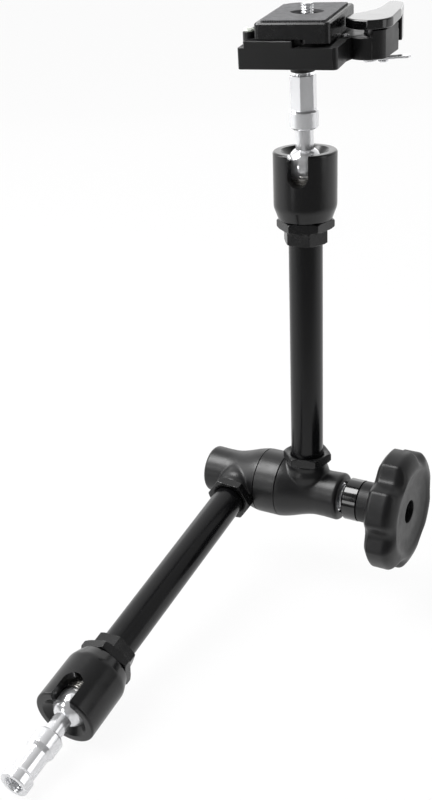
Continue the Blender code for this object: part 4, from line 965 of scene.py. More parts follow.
    def build(self, shop: Paintshop) -> None:
        """Build the whole arm and dress what stays hidden in it.

        Args:
            shop: Dresses the pieces and puts them on their bodies.
        """
        self.build_casting(shop)
        self.build_tube(shop)
        self.build_nuts(shop)
        prefix = self.side.value
        shop.dress(f"{prefix}_push_rod", ZINC)
        shop.dress(f"{prefix}_wedge", ZINC)
        shop.dress(f"{prefix}_friction_disc", LINING)
        for number in (1, 2):
            shop.dress(f"{prefix}_rod_guide_{number}", NYLON)


def rounded_edge(first: np.ndarray, second: np.ndarray, radius: float) -> np.ndarray:
    """Join two distances where a solid ends at both, with its edge rounded.

    Args:
        first: Distances from the first surface.
        second: Distances from the second one.
        radius: Radius of the edge.

    Returns:
        The joined distances.
    """
    first = first + radius
    second = second + radius
    inside = np.minimum(np.maximum(first, second), 0.0)
    return inside + np.hypot(np.maximum(first, 0.0), np.maximum(second, 0.0)) - radius


def bar(radius: float, bottom: float, top: float, sides: int = 72) -> bmesh.types.BMesh:
    """Make a closed round bar along Z."""
    return turned([(0.0, bottom), (radius, bottom), (radius, top), (0.0, top)], sides)


def at(place: Sequence[float]) -> Matrix:
    """Shift to a place (x, y)."""
    return Matrix.Translation((*place, 0))


def cut_face(piece: bpy.types.Object, matrix: Matrix, height: float) -> None:
    """Saw a piece flat at a height along a frame's Z axis, and close the cut.

    Args:
        piece: The piece.
        matrix: The frame, in the piece's own frame.
        height: Where the kept part starts.
    """
    shape = bmesh.new()
    shape.from_mesh(piece.data)
    normal = (matrix.to_3x3() @ Vector((0, 0, 1))).normalized()
    sawn = bmesh.ops.bisect_plane(shape, geom=shape.verts[:] + shape.edges[:] + shape.faces[:],
                                  plane_co=matrix @ Vector((0, 0, height)), plane_no=normal, clear_inner=True)
    edges = [item for item in sawn["geom_cut"] if isinstance(item, bmesh.types.BMEdge)]
    bmesh.ops.contextual_create(shape, geom=edges)
    bmesh.ops.recalc_face_normals(shape, faces=shape.faces)
    shape.to_mesh(piece.data)
    shape.free()


@dataclass
class Elbow:
    """The ring between the two castings, and the parts on the hinge inside it."""

    frame: Matrix
    middle: float = 20.9 * MM
    ring_radius: float = 19.9 * MM
    ring_width: float = 14.2 * MM
    bore: float = 10.2 * MM
    recess: float = 18.5 * MM
    floor: float = 6.0 * MM
    edge: float = 0.55 * MM

    def build(self, shop: Paintshop) -> None:
        """Turn the ring and dress what it hides.

        Args:
            shop: Dresses the pieces and puts them on their bodies.
        """
        half = self.ring_width / 2
        profile = fillet([(self.recess, half), (self.ring_radius, half, self.edge),
                          (self.ring_radius, -half, self.edge), (self.recess, -half),
                          (self.recess, -self.floor), (self.bore, -self.floor),
                          (self.bore, self.floor), (self.recess, self.floor)], 4, True)
        frame = self.frame @ Matrix.Translation((0, 0, self.middle))
        piece = new_object("elbow_ring", turned(profile, 128, True), frame)
        shop.fit(piece, "friction_ring", ENAMEL)
        for node in ("elbow_spindle", "elbow_spring"):
            shop.dress(node, ZINC)
        shop.dress("centre_sleeve", BRONZE)


@dataclass
class Knob:
    """The star grip with its hub, and the washers between it and the elbow."""

    frame: Matrix
    hub_start: float = 69.0 * MM
    hub_end: float = 78.2 * MM
    hub_radius: float = 12.6 * MM
    hub_chamfer: float = 0.9 * MM
    sleeve_radius: float = 8.4 * MM
    sleeve_end: float = 104.2 * MM
    spindle_hole: float = 5.3 * MM
    radius: float = 36.4 * MM
    neck_length: float = 11.5 * MM
    thickness: float = 20.4 * MM
    edge: float = 5.2 * MM
    lobes: int = 6
    points_a_lobe: int = 36
    turn: float = math.radians(4.0)
    valley_share: float = 0.5
    valley_depth: float = 5.0 * MM
    valley_power: float = 1.3
    dish_radius: float = 24.6 * MM
    dish_depth: float = 2.6 * MM
    hole_radius: float = 6.75 * MM
    clear: float = 0.3 * MM
    washers: dict[str, tuple[float, float, float]] = field(default_factory=lambda: {
        "thrust_washer": (63.0 * MM, 1.6 * MM, 8.9 * MM), "knob_washer": (67.8 * MM, 0.9 * MM, 8.6 * MM)})
    spring_start: float = 64.9 * MM
    spring_thickness: float = 2.6 * MM
    spring_radius: float = 8.1 * MM
    spring_wire: float = 1.55 * MM
    spring_gap: float = math.radians(10.0)
    spring_turn: float = math.radians(-35.0)

    def section(self, height: float, radius: float, depth: float) -> list[Vector]:
        """List one ring of the grip, its valleys pressed in.

        Args:
            height: Place along the hinge.
            radius: Radius at the lobes.
            depth: Depth of the valleys.

        Returns:
            The points of the ring.
        """
        count = self.lobes * self.points_a_lobe
        points = []
        for index in range(count):
            angle = TURN * index / count
            phase = (angle * self.lobes / TURN) % 1.0
            off = min(abs(phase - 0.5) * 2 / self.valley_share, 1.0)
            reach = radius - depth * math.cos(math.pi * off / 2) ** self.valley_power
            angle += self.turn
            points.append(Vector((reach * math.cos(angle), reach * math.sin(angle), height)))
        return points

    def grip_sections(self) -> list[tuple[float, float, float]]:
        """List the grip's outer sections: height, radius and share of the valleys' depth.

        Returns:
            The sections, from the hub to the dish.
        """
        back = self.hub_end + self.clear + self.neck_length
        front = back + self.thickness
        neck = self.hub_radius - 0.2 * MM
        full, round_in = self.radius, self.edge
        return [
            (back - self.neck_length + 0.4 * MM, neck, 0.0), (back - 5.5 * MM, neck, 0.0),
            (back - 2.6 * MM, neck + 0.5 * MM, 0.0), (back - 0.9 * MM, neck + 2.6 * MM, 0.0),
            (back, neck + 7.0 * MM, 0.05), (back + 0.18 * round_in, full - 2.0 * round_in, 0.2),
            (back + 0.38 * round_in, full - 0.85 * round_in, 0.6),
            (back + 0.68 * round_in, full - 0.28 * round_in, 0.9), (back + 1.02 * round_in, full, 1.0),
            (back + 1.6 * round_in, full, 1.0), (front - 1.7 * round_in, full, 1.0),
            (front - 1.06 * round_in, full - 0.03 * round_in, 1.0),
            (front - 0.56 * round_in, full - 0.36 * round_in, 0.9),
            (front - 0.2 * round_in, full - 0.95 * round_in, 0.55),
            (front, self.dish_radius + 3.0 * MM, 0.12),
            (front - 0.5 * MM, self.dish_radius + 0.6 * MM, 0.0),
            (front - 1.5 * MM, self.dish_radius - 2.2 * MM, 0.0),
            (front - self.dish_depth, self.dish_radius - 9.0 * MM, 0.0),
            (front - self.dish_depth, self.hole_radius + 1.0 * MM, 0.0),
        ]

    def build_grip(self, shop: Paintshop) -> None:
        """Mould the star grip.

        Args:
            shop: Dresses the pieces and puts them on their bodies.
        """
        knots = self.grip_sections()
        fine = []
        for index in range(len(knots) - 1):
            around = [knots[max(min(index + shift, len(knots) - 1), 0)] for shift in (-1, 0, 1, 2)]
            for step in range(4):
                fine.append(tuple(glide(values, step / 4) for values in zip(*around)))
        fine.append(knots[-1])
        start = self.hub_end + self.clear
        bore = self.sleeve_radius + self.clear
        front = knots[-1][0]
        rings = [self.section(start, bore, 0.0), self.section(start, knots[0][1] - 0.4 * MM, 0.0)]
        rings += [self.section(height, radius, share * self.valley_depth) for height, radius, share in fine]
        floor = self.sleeve_end + self.clear
        for radius, height in ((self.hole_radius + 0.3 * MM, front - 0.1 * MM),
                               (self.hole_radius, front - 0.5 * MM),
                               (self.hole_radius, floor), (bore, floor)):
            rings.append(self.section(height, radius, 0.0))
        shape = bmesh.new()
        join_rings(shape, [[shape.verts.new(point) for point in ring] for ring in rings], True)
        shop.fit(new_object("star_grip", shape, self.frame, 42.0), "knob_grip", RUBBER)

    def build_hub(self, shop: Paintshop) -> None:
        """Turn the hub and its sleeve inside the grip.

        Args:
            shop: Dresses the pieces and puts them on their bodies.
        """
        profile = fillet([(self.sleeve_radius, self.sleeve_end), (self.sleeve_radius, self.hub_end),
                          (self.hub_radius, self.hub_end, 0.25 * MM),
                          (self.hub_radius, self.hub_start + self.hub_chamfer, 0.3 * MM),
                          (self.hub_radius - self.hub_chamfer, self.hub_start, 0.3 * MM),
                          (self.spindle_hole, self.hub_start), (self.spindle_hole, self.sleeve_end)], 3, True)
        hub = new_object("turned_hub", turned(profile, 128, True), self.frame)
        shop.fit(hub, "knob_hub", LACQUER)

    def build_washers(self, shop: Paintshop) -> None:
        """Press the flat washers and wind the split spring washer.

        Args:
            shop: Dresses the pieces and puts them on their bodies.
        """
        for node, (start, thickness, radius) in self.washers.items():
            profile = fillet([(radius, start + thickness, 0.25 * MM), (radius, start, 0.25 * MM),
                              (self.spindle_hole, start), (self.spindle_hole, start + thickness)], 3, True)
            washer = new_object(f"pressed_{node}", turned(profile, 96, True), self.frame)
            shop.fit(washer, node, CHROME)
        spring = new_object("split_spring_washer", self.spring_shape(), self.frame)
        shop.fit(spring, "spring_washer", CHROME)

    def spring_shape(self) -> bmesh.types.BMesh:
        """Wind a square wire one turn, its ends apart along the hinge.

        Returns:
            The mesh of the washer.
        """
        shape = bmesh.new()
        wire = self.spring_wire
        rise = self.spring_thickness - wire
        steps = 72
        inner = self.spindle_hole + 0.2 * MM
        section = fillet([(self.spring_radius, wire, 0.3 * MM), (self.spring_radius, 0.0, 0.3 * MM),
                          (inner, 0.0, 0.3 * MM), (inner, wire, 0.3 * MM)], 2, True)
        rings = []
        for step in range(steps + 1):
            share = step / steps
            angle = self.spring_turn + self.spring_gap / 2 + (TURN - self.spring_gap) * share
            base = self.spring_start + rise * share
            rings.append([shape.verts.new((radius * math.cos(angle), radius * math.sin(angle), base + height))
                          for radius, height in section])
        join_rings(shape, rings, False)
        shape.faces.new(rings[0])
        shape.faces.new(rings[-1])
        return shape

    def build(self, shop: Paintshop) -> None:
        """Build the knob and its washers.

        Args:
            shop: Dresses the pieces and puts them on their bodies.
        """
        self.build_grip(shop)
        self.build_hub(shop)
        self.build_washers(shop)


def glide(values: Sequence[float], share: float) -> float:
    """Pass smoothly from the second of four values to the third.

    Args:
        values: Four values in a row.
        share: How far along, from 0 to 1.

    Returns:
        The value there.
    """
    before, start, end, after = values
    rise = (end - before) / 2
    fall = (after - start) / 2
    if (start - before) * (end - start) <= 0:
        rise = 0.0
    if (end - start) * (after - end) <= 0:
        fall = 0.0
    two, three = share * share, share ** 3
    return (start * (2 * three - 3 * two + 1) + rise * (three - 2 * two + share)
            + end * (3 * two - 2 * three) + fall * (three - two))


@dataclass
class Socket:
    """A slotted cup with the seat that presses on its ball."""

    side: Side
    frame: Matrix
    slot_turn: float
    radius: float = 17.5 * MM
    rim: float = 8.0 * MM
    rim_round: float = 1.2 * MM
    mouth_radius: float = 13.2 * MM
    lip: float = 4.3 * MM
    taper_top: float = -22.3 * MM
    bottom: float = -29.3 * MM
    bottom_radius: float = 14.9 * MM
    shoulder_round: float = 9.0 * MM
    slot_width: float = 11.4 * MM
    slot_drop: float = 3.2 * MM
    ball_radius: float = 10.2 * MM
    seat_edge: float = 5.6 * MM
    seat_bottom: float = -14.6 * MM
    seat_hole: float = 2.6 * MM
    chamber_bottom: float = -16.9 * MM
    thread_hole: float = 11.8 * MM
    clear: float = 0.3 * MM

    def build_cup(self, shop: Paintshop) -> None:
        """Turn the cup and mill its slot.

        Args:
            shop: Dresses the pieces and puts them on their bodies.
        """
        seat = self.ball_radius + self.clear
        profile: list[Corner] = [
            (self.radius, self.rim, self.rim_round), (self.radius, self.taper_top, self.shoulder_round),
            (self.bottom_radius, self.bottom, 0.7 * MM), (self.thread_hole, self.bottom),
            (self.thread_hole, self.chamber_bottom), (seat, self.chamber_bottom)]
        start = math.asin(self.lip / seat)
        for step in range(6):
            angle = start * step / 5
            profile.append((seat * math.cos(angle), seat * math.sin(angle)))
        profile.append((self.mouth_radius, self.rim, 0.5 * MM))
        skin = turned(fillet(profile, 5, True), 144, True)
        cup = new_object(f"{self.side.value}_slotted_cup", skin, self.frame)
        half = self.slot_width / 2
        above = self.rim + PAST
        outline = arc((0, -self.slot_drop), half, 180, 360, 28) + [(half, above), (-half, above)]
        cutter = slab(outline, [(0, -self.radius - PAST), (0, 0)])
        upright = Matrix.Rotation(self.slot_turn, 4, "Z") @ Matrix.Rotation(math.pi / 2, 4, "X")
        mirrored = Matrix.Rotation(math.pi, 4, "Y")
        carve(cup, [moved(cutter, upright @ mirrored)])
        ease_edges(cup, 0.4 * MM, 42.0, 3)
        shop.fit(cup, f"{self.side.value}_socket_cup", CUP_ENAMEL)

    def build_seat(self, shop: Paintshop) -> None:
        """Turn the ball seat, with the fine grooves of its outer face.

        Args:
            shop: Dresses the pieces and puts them on their bodies.
        """
        seat = self.ball_radius + self.clear
        outer = seat - self.clear
        profile: list[Corner] = [(outer, -self.seat_edge, 0.2 * MM)]
        for groove in range(4):
            top = -self.seat_edge - (0.9 + 1.25 * groove) * MM
            profile += [(outer, top), (outer - 0.35 * MM, top - 0.3 * MM),
                        (outer - 0.35 * MM, top - 0.5 * MM), (outer, top - 0.8 * MM)]
        profile += [(outer, self.seat_bottom), (self.seat_hole, self.seat_bottom)]
        start = math.asin(-math.sqrt(seat ** 2 - self.seat_hole ** 2) / seat)
        end = math.asin(-self.seat_edge / seat)
        for step in range(13):
            angle = start + (end - start) * step / 12
            profile.append((seat * math.cos(angle), seat * math.sin(angle)))
        skin = turned(fillet(profile, 3, True), 96, True)
        piece = new_object(f"{self.side.value}_turned_seat", skin, self.frame)
        shop.fit(piece, f"{self.side.value}_ball_seat", TINNED)
        shop.dress(f"{self.side.value}_seat_washer", ZINC)

    def build(self, shop: Paintshop) -> None:
        """Build the cup and its seat."""
        self.build_cup(shop)
        self.build_seat(shop)


@dataclass
class Stems:
    """The two chromed ball stems, and the spigot that the whole arm stands on."""

    layout: Layout
    ball_radius: float = 10.2 * MM
    neck_radius: float = 4.95 * MM
    collar_radius: float = 7.9375 * MM
    collar_start: float = 20.2 * MM
    upper_collar_length: float = 10.0 * MM
    chamfer: float = 1.0 * MM
    hex_flats: float = 12.7 * MM
    hex_top: float = 48.2 * MM
    hex_turn: float = math.radians(-17.5)
    step_radius: float = 4.0 * MM
    step_top: float = 49.5 * MM
    stud_radius: float = 3.175 * MM
    stud_top: float = 59.0 * MM
    pin_radius: float = 3.9 * MM
    pin_length: float = 11.0 * MM
    spigot_collar: float = 9.2 * MM
    waist_radius: float = 6.65 * MM
    shoulder: float = 2.6 * MM
    flange_length: float = 5.9 * MM
    hole_radius: float = 5.0 * MM
    hole_depth: float = 12.0 * MM
    clear: float = 0.3 * MM

    def neck_start(self) -> float:
        """Give the height at which the neck leaves the ball."""
        return math.sqrt(self.ball_radius ** 2 - self.neck_radius ** 2)

    def ball_line(self) -> list[Corner]:
        """List the ball from its neck down to its pole.

        Returns:
            The points of the line.
        """
        start = math.asin(self.neck_start() / self.ball_radius)
        points: list[Corner] = []
        for step in range(49):
            angle = start + (-math.pi / 2 - start) * step / 48
            points.append((max(self.ball_radius * math.cos(angle), 0.0), self.ball_radius * math.sin(angle)))
        return points

    def build_upper(self, shop: Paintshop) -> None:
        """Turn the upper stem: ball, neck, collar, hexagon and stud.

        Args:
            shop: Dresses the pieces and puts them on their bodies.
        """
        top = self.collar_start + self.upper_collar_length
        shoulder = [(0.0, top), (self.collar_radius - self.chamfer, top, 0.2 * MM),
                    (self.collar_radius, top - self.chamfer, 0.3 * MM),
                    (self.collar_radius, self.collar_start + self.chamfer, 0.3 * MM),
                    (self.collar_radius - self.chamfer, self.collar_start, 0.2 * MM),
                    (self.neck_radius, self.collar_start, 0.3 * MM),
                    (self.neck_radius, self.neck_start() + 0.2 * MM)]
        lower = turned(fillet(shoulder + self.ball_line(), 4), 128)
        hexagon = moved(hexagon_body(self.hex_flats, top - 0.05 * MM, self.hex_top),
                        Matrix.Rotation(self.hex_turn, 4, "Z"))
        step = bar(self.step_radius, self.hex_top - MM, self.step_top)
        stud = bar(self.stud_radius - 0.45 * MM, self.step_top - MM, self.stud_top)
        ridges = thread(self.stud_radius, 0.55 * MM, QUARTER_INCH_PITCH, self.step_top,
                        self.stud_top - 0.2 * MM)
        piece = new_object("upper_turned_stem", merged(lower, hexagon, step, stud, ridges),
                           self.layout.upper_ball())
        shop.fit(piece, "upper_ball_stem", CHROME)

    def build_lower(self, shop: Paintshop) -> None:
        """Turn the lower stem, whose pin the spigot spins on.

        Args:
            shop: Dresses the pieces and puts them on their bodies.
        """
        top = self.collar_start - self.clear
        profile = [(0.0, top + self.pin_length), (self.pin_radius, top + self.pin_length, 0.5 * MM),
                   (self.pin_radius, top, 0.2 * MM), (self.neck_radius, top, 0.25 * MM),
                   (self.neck_radius, self.neck_start() + 0.2 * MM)]
        piece = new_object("lower_turned_stem", turned(fillet(profile + self.ball_line(), 4), 128),
                           self.layout.lower_ball())
        shop.fit(piece, "lower_ball_stem", CHROME)

    def build_spigot(self, shop: Paintshop) -> None:
        """Turn the spigot: collar, waist, flange and threaded hole.

        Args:
            shop: Dresses the pieces and puts them on their bodies.
        """
        end = self.layout.spigot_end
        collar_top = self.collar_start + self.spigot_collar
        flange = end - self.flange_length
        pin_hole = self.pin_radius + self.clear
        pin_top = self.collar_start + self.pin_length
        outer = fillet([
            (self.hole_radius + 0.6 * MM, end, 0.15 * MM), (self.collar_radius, end, 0.7 * MM),
            (self.collar_radius, flange, 0.9 * MM), (self.waist_radius, flange - self.shoulder / 2, 0.9 * MM),
            (self.waist_radius, collar_top + self.shoulder, 1.4 * MM),
            (self.collar_radius, collar_top, 0.9 * MM),
            (self.collar_radius, self.collar_start + self.chamfer, 0.3 * MM),
            (self.collar_radius - self.chamfer, self.collar_start, 0.2 * MM), (pin_hole, self.collar_start),
            (pin_hole, pin_top), (0.0, pin_top)], 5)
        floor = end - self.hole_depth
        hole: Line = [(self.hole_radius + 0.6 * MM, end), (self.hole_radius, end - 0.6 * MM)]
        skin = turned([(0.0, floor), (self.hole_radius, floor), (self.hole_radius, floor + 0.05 * MM)])
        ridges = thread(self.hole_radius, 0.5 * MM, THREE_EIGHTHS_PITCH, floor + 0.05 * MM,
                        end - 0.6 * MM, 72)
        piece = new_object("spigot_bar", merged(turned(hole, 96), turned(outer, 96), skin, ridges),
                           self.layout.lower_ball())
        shop.fit(piece, "lower_spigot", CHROME)

    def build(self, shop: Paintshop) -> None:
        """Build both stems and the spigot.

        Args:
            shop: Dresses the pieces and puts them on their bodies.
        """
        self.build_upper(shop)
        self.build_lower(shop)
        self.build_spigot(shop)


@dataclass
class Clamp:
    """The quick-release camera clamp: body, plate, pad, screw, lever and catch."""

    frame: Matrix
    left: float = -25.8 * MM
    right: float = 25.5 * MM
    half_depth: float = 28.6 * MM
    bottom: float = 56.6 * MM
    top: float = 67.4 * MM
    wall_top: float = 70.6 * MM
    wall_left: float = -22.6 * MM
    wall_right: float = 2.7 * MM
    wall: float = 4.2 * MM
    boss_radius: float = 6.5 * MM
    boss_bottom: float = 49.8 * MM
    stud_radius: float = 3.175 * MM
    stud_hole_depth: float = 11.0 * MM
    jaw_half: float = 16.0 * MM
    jaw_top: float = 75.0 * MM
    hook: float = 1.2 * MM
    hook_height: float = 1.4 * MM
    pivot: tuple[float, float] = (34.0 * MM, 6.0 * MM)
    lobe: float = 12.4 * MM
    lobe_back: float = 25.0 * MM
    tower_top: float = 70.8 * MM
    tower_start: float = 36.0 * MM
    edge: float = 0.45 * MM
    left_corner: float = 1.2 * MM
    right_corner: float = 2.4 * MM
    wall_corner: float = 0.5 * MM
    foot: float = 0.8 * MM
    sunk: float = 1.5 * MM
    proud: float = 0.02 * MM
    plate_left: float = -17.6 * MM
    plate_right: float = 21.3 * MM
    plate_half: float = 26.6 * MM
    plate_bottom: float = 70.9 * MM
    plate_top: float = 78.8 * MM
    plate_corner: float = 2.5 * MM
    plate_edge: float = 0.8 * MM
    rail_start: float = 6.5 * MM
    rail_height: float = 2.2 * MM
    pad_margin: float = 2.8 * MM
    pad_thickness: float = 1.6 * MM
    pad_pocket: float = 1.0 * MM
    pad_corner: float = 7.0 * MM
    pad_teeth: int = 26
    tooth_depth: float = 0.45 * MM
    recess: tuple[float, float] = (9.0 * MM, 6.5 * MM)
    recess_depth: float = 3.6 * MM
    screw: tuple[float, float] = (3.5 * MM, -1.5 * MM)
    screw_top: float = 84.0 * MM
    screw_head_radius: float = 7.0 * MM
    screw_head_height: float = 2.2 * MM
    lever_bottom: float = 71.1 * MM
    lever_top: float = 76.0 * MM
    lever_head: float = 12.3 * MM
    lever_reach: float = 42.0 * MM
    lever_width: float = 8.6 * MM
    lever_lean: float = math.radians(7.0)
    lever_edge: float = 0.9 * MM
    cam_relief: float = 0.8 * MM
    tab_bottom: float = 58.5 * MM
    tab_thickness: float = 4.0 * MM
    tab_length: float = 9.5 * MM
    pin_radius: float = 3.0 * MM
    pin_head: float = 3.9 * MM
    catch: tuple[float, float] = (41.2 * MM, 4.6 * MM)
    catch_turn: float = math.radians(20.0)
    catch_eye: float = 2.9 * MM
    catch_hole: float = 1.9 * MM
    rivet_radius: float = 1.6 * MM
    rivet_head: float = 2.7 * MM
    catch_thickness: float = 1.2 * MM
    catch_reach: float = 14.0 * MM
    catch_width: float = 5.0 * MM
    level: tuple[float, float] = (-22.2 * MM, -19.0 * MM)
    level_radius: float = 3.2 * MM
    level_top: float = 73.6 * MM
    level_stem: float = 1.9 * MM
    plunger: tuple[float, float] = (22.8 * MM, -1.0 * MM)
    plunger_radius: float = 2.0 * MM
    clear: float = 0.3 * MM

    def body_outline(self) -> Line:
        """List the clamp body's outline: a rectangle and the lobe under the lever.

        Returns:
            The outline, anticlockwise.
        """
        along = self.pivot[1]
        right = self.lobe_right()
        front: list[Corner] = [(self.left, -self.half_depth, self.left_corner),
                               (self.right, -self.half_depth, self.right_corner),
                               (self.right, along - self.lobe - 3.2 * MM, 2.2 * MM)]
        rear: list[Corner] = [(right, self.lobe_back - 5 * MM, 2.5 * MM),
                              (right - 6 * MM, self.lobe_back + 3 * MM, 3 * MM),
                              (self.right, self.half_depth - MM, 2.5 * MM),
                              (self.right - 3 * MM, self.half_depth, 1.5 * MM),
                              (self.left, self.half_depth, self.left_corner)]
        return fillet(front + arc(self.pivot, self.lobe, 236, 322, 26) + rear, 5, True)

    def lobe_right(self) -> float:
        """Give the right side of the lobe under the lever."""
        return self.pivot[0] + self.lobe - 0.4 * MM

    def wall_levels(self, foot: float, top: float) -> Line:
        """List the levels of a wall on the body, its foot sunk in and its upper edge rounded."""
        levels = rounded_levels(self.top - self.sunk, top, self.edge)
        return [(0.0, foot)] + levels[len(levels) // 2:]

    def build_body(self, shop: Paintshop) -> None:
        """Cast the clamp body with its walls, jaw, tower, bosses and holes.

        Args:
            shop: Dresses the pieces and puts them on their bodies.
        """
        deep = self.top - self.sunk
        low = self.bottom + self.foot
        upright = Matrix.Rotation(math.pi / 2, 4, "X")
        base = slab(self.body_outline(), rounded_levels(self.bottom, self.top, self.edge))
        front = slab(box_outline(self.wall_left, self.wall_right, -self.half_depth - self.proud,
                                 self.wall - self.half_depth, self.wall_corner),
                     self.wall_levels(low, self.wall_top))
        facing = moved(slab(self.front_outline(low), [(0.0, self.half_depth - MM),
                                                      (0.0, self.half_depth + 2 * self.proud)]), upright)
        bed = slab(box_outline(self.wall_left + 2 * MM, self.rail_start - 2 * self.clear,
                               5 * MM - self.half_depth, self.half_depth - 1.5 * MM, self.wall_corner),
                   [(0.0, deep), (0.0, self.plate_bottom - 2 * self.clear)])
        side = slab(box_outline(self.wall_left, self.wall_left + self.wall, -self.half_depth + 2 * MM,
                                self.half_depth, self.wall_corner), self.wall_levels(deep, self.wall_top))
        face = self.plate_left - self.clear
        hook: list[Corner] = [
            (self.wall_left + 0.6 * MM, self.wall_top - MM), (face, self.wall_top - MM),
            (face, self.jaw_top - self.hook_height, 0.2 * MM),
            (face + self.hook, self.jaw_top - self.hook_height / 2, 0.3 * MM), (face, self.jaw_top, 0.3 * MM),
            (self.wall_left + 1.4 * MM, self.jaw_top, 0.5 * MM)]
        jaw = moved(slab(fillet(hook, 3, True), rounded_levels(-self.jaw_half, self.jaw_half, 0.4 * MM)),
                    upright)
        tower = slab(inset(self.tower_outline(), -self.proud), self.wall_levels(low, self.tower_top))
        boss_top = self.bottom + 0.5 * MM
        boss = turned(fillet([(0.0, self.boss_bottom), (self.boss_radius, self.boss_bottom, 0.4 * MM),
                              (self.boss_radius, boss_top), (0.0, boss_top)], 3), 72)
        stump = fillet([(0.0, deep), (self.level_radius, deep), (self.level_radius, self.level_top, 0.3 * MM),
                        (0.0, self.level_top)], 3)
        level = moved(turned(stump, 48), at(self.level))
        piece = new_object("clamp_body", merged(base, front, facing, bed, side, jaw, tower, boss, level),
                           self.frame)
        holes = (((0, 0), self.stud_radius + self.clear, self.boss_bottom - MM,
                  self.boss_bottom + self.stud_hole_depth),
                 (self.pivot, self.pin_radius + self.clear, self.bottom - MM, self.tower_top + MM),
                 (self.catch, self.catch_hole, self.bottom - MM, self.bottom + 5.3 * MM),
                 (self.plunger, self.plunger_radius + self.clear, self.top - 7 * MM, self.top + MM))
        carve(piece, [moved(bar(radius, start, end, 48), at(place))
                      for place, radius, start, end in holes], True)
        shop.fit(piece, "clamp_base", ENAMEL)

    def front_outline(self, low: float) -> Line:
        """List the flat part of the body's stepped front, seen along Y.

        Args:
            low: Where the flat part starts.

        Returns:
            The outline, anticlockwise.
        """
        left, right = self.left + self.left_corner, self.right - self.right_corner
        wall_left, wall_right = self.wall_left + self.wall_corner, self.wall_right - self.wall_corner
        top, wall_top = self.top - self.edge, self.wall_top - self.edge
        return [(left, low), (right, low), (right, top), (wall_right, top), (wall_right, wall_top),
                (wall_left, wall_top), (wall_left, top), (left, top)]

    def tower_outline(self) -> Line:
        """List the raised part of the body beside the lever's head.

        Returns:
            The outline, anticlockwise.
        """
        along = self.pivot[1]
        right = self.lobe_right()
        corners: list[Corner] = list(reversed(arc(self.pivot, self.lobe, 322, 288.25, 8)))
        corners += [(right, self.lobe_back - 6 * MM, 2 * MM),
                    (right - 5 * MM, self.lobe_back - 2 * MM, 2 * MM),
                    (self.tower_start, self.lobe_back - 4 * MM, MM), (self.tower_start, along, MM)]
        return fillet(corners, 4, True)

    def build_small_parts(self, shop: Paintshop) -> None:
        """Turn the pin, the rivet, the plunger and the level's dome.

        Args:
            shop: Dresses the pieces and puts them on their bodies.
        """
        head_top = self.bottom - self.clear
        pin_top = self.lever_top - 1.5 * MM
        pin = fillet([(0.0, pin_top), (self.pin_radius, pin_top, 0.3 * MM), (self.pin_radius, head_top),
                      (self.pin_head, head_top, 0.2 * MM), (self.pin_head, head_top - 2.2 * MM, 0.5 * MM),
                      (self.pin_head - 1.2 * MM, head_top - 3.0 * MM, 0.6 * MM),
                      (0.0, head_top - 3.0 * MM)], 4)
        top = self.bottom + 5 * MM
        head_top = self.bottom - self.clear - self.catch_thickness - self.clear
        rivet = fillet([(0.0, top), (self.rivet_radius, top, 0.3 * MM), (self.rivet_radius, head_top),
                        (self.rivet_head, head_top, 0.2 * MM),
                        (self.rivet_head, head_top - 0.7 * MM, 0.3 * MM),
                        (self.rivet_radius, head_top - 1.4 * MM, 0.6 * MM), (0.0, head_top - 1.4 * MM)], 4)
        top = self.plate_bottom - self.rail_height - self.clear
        plunger = fillet([(0.0, top), (self.plunger_radius, top, 0.6 * MM),
                          (self.plunger_radius, top - 4 * MM, 0.2 * MM), (0.0, top - 4 * MM)], 4)
        flange = self.level_top + self.clear
        plug_bottom = self.level_top - 3.7 * MM
        rim = self.level_radius - 0.2 * MM
        dome = fillet([(0.0, flange + 1.5 * MM), (0.55 * rim, flange + 1.4 * MM, 0.8 * MM),
                       (0.92 * rim, flange + 0.7 * MM, 0.8 * MM), (rim, flange, 0.1 * MM),
                       (self.level_stem, flange), (self.level_stem, plug_bottom), (0.0, plug_bottom)], 5)
        for name, node, profile, sides, place, slot, finish in (
                ("lever_pin", "lever_pivot_pin", pin, 64, self.pivot, Slot.CHROME, CHROME),
                ("catch_rivet", "safety_rivet", rivet, 48, self.catch, Slot.CHROME, CHROME),
                ("plate_plunger", "trigger_plunger", plunger, 40, self.plunger, Slot.CHROME, CHROME),
                ("level_dome", "spirit_level", dome, 48, self.level, Slot.VIAL, ACRYLIC)):
            shop.fit(new_object(name, turned(profile, sides), self.frame @ at(place)), node, finish)
        shop.dress("trigger_spring", ZINC)

    def recess_outline(self) -> Line:
        """List the pointed oval round the camera screw.

        Returns:
            The outline, anticlockwise.
        """
        across, along = self.screw
        length, width = self.recess
        reach = (length ** 2 + width ** 2) / (2 * width)
        half = math.degrees(math.asin(length / reach))
        front = arc((across, along + reach - width), reach, 270 - half, 270 + half, 24)
        back = arc((across, along - reach + width), reach, 90 - half, 90 + half, 24)
        return front[:-1] + back[:-1]

    def pad_outline(self, margin: float, teeth: bool = False) -> Line:
        """List the pad's outline inside the plate's edge.

        Args:
            margin: Distance from the plate's edge.
            teeth: Whether the front edge carries its row of small teeth.

        Returns:
            The outline, anticlockwise.
        """
        left, right = self.plate_left + margin, self.plate_right - margin
        front, back = margin - self.plate_half, self.plate_half - margin
        small = 1.2 * MM
        points: Line = []
        if teeth:
            start, width = left + small, right - left - 2 * small
            for tooth in range(self.pad_teeth):
                for share, depth in ((0.0, 0.0), (0.15, self.tooth_depth),
                                     (0.5, self.tooth_depth), (0.65, 0.0)):
                    points.append((start + width * (tooth + share) / self.pad_teeth, front - depth))
        points += arc((right - small, front + small), small, -90, 0, 5)
        points += arc((right - small, back - small), small, 0, 90, 5)
        points += arc((left + self.pad_corner, back - self.pad_corner), self.pad_corner, 90, 180, 16)
        points += arc((left + small, front + small), small, 180, 270, 5)
        return points

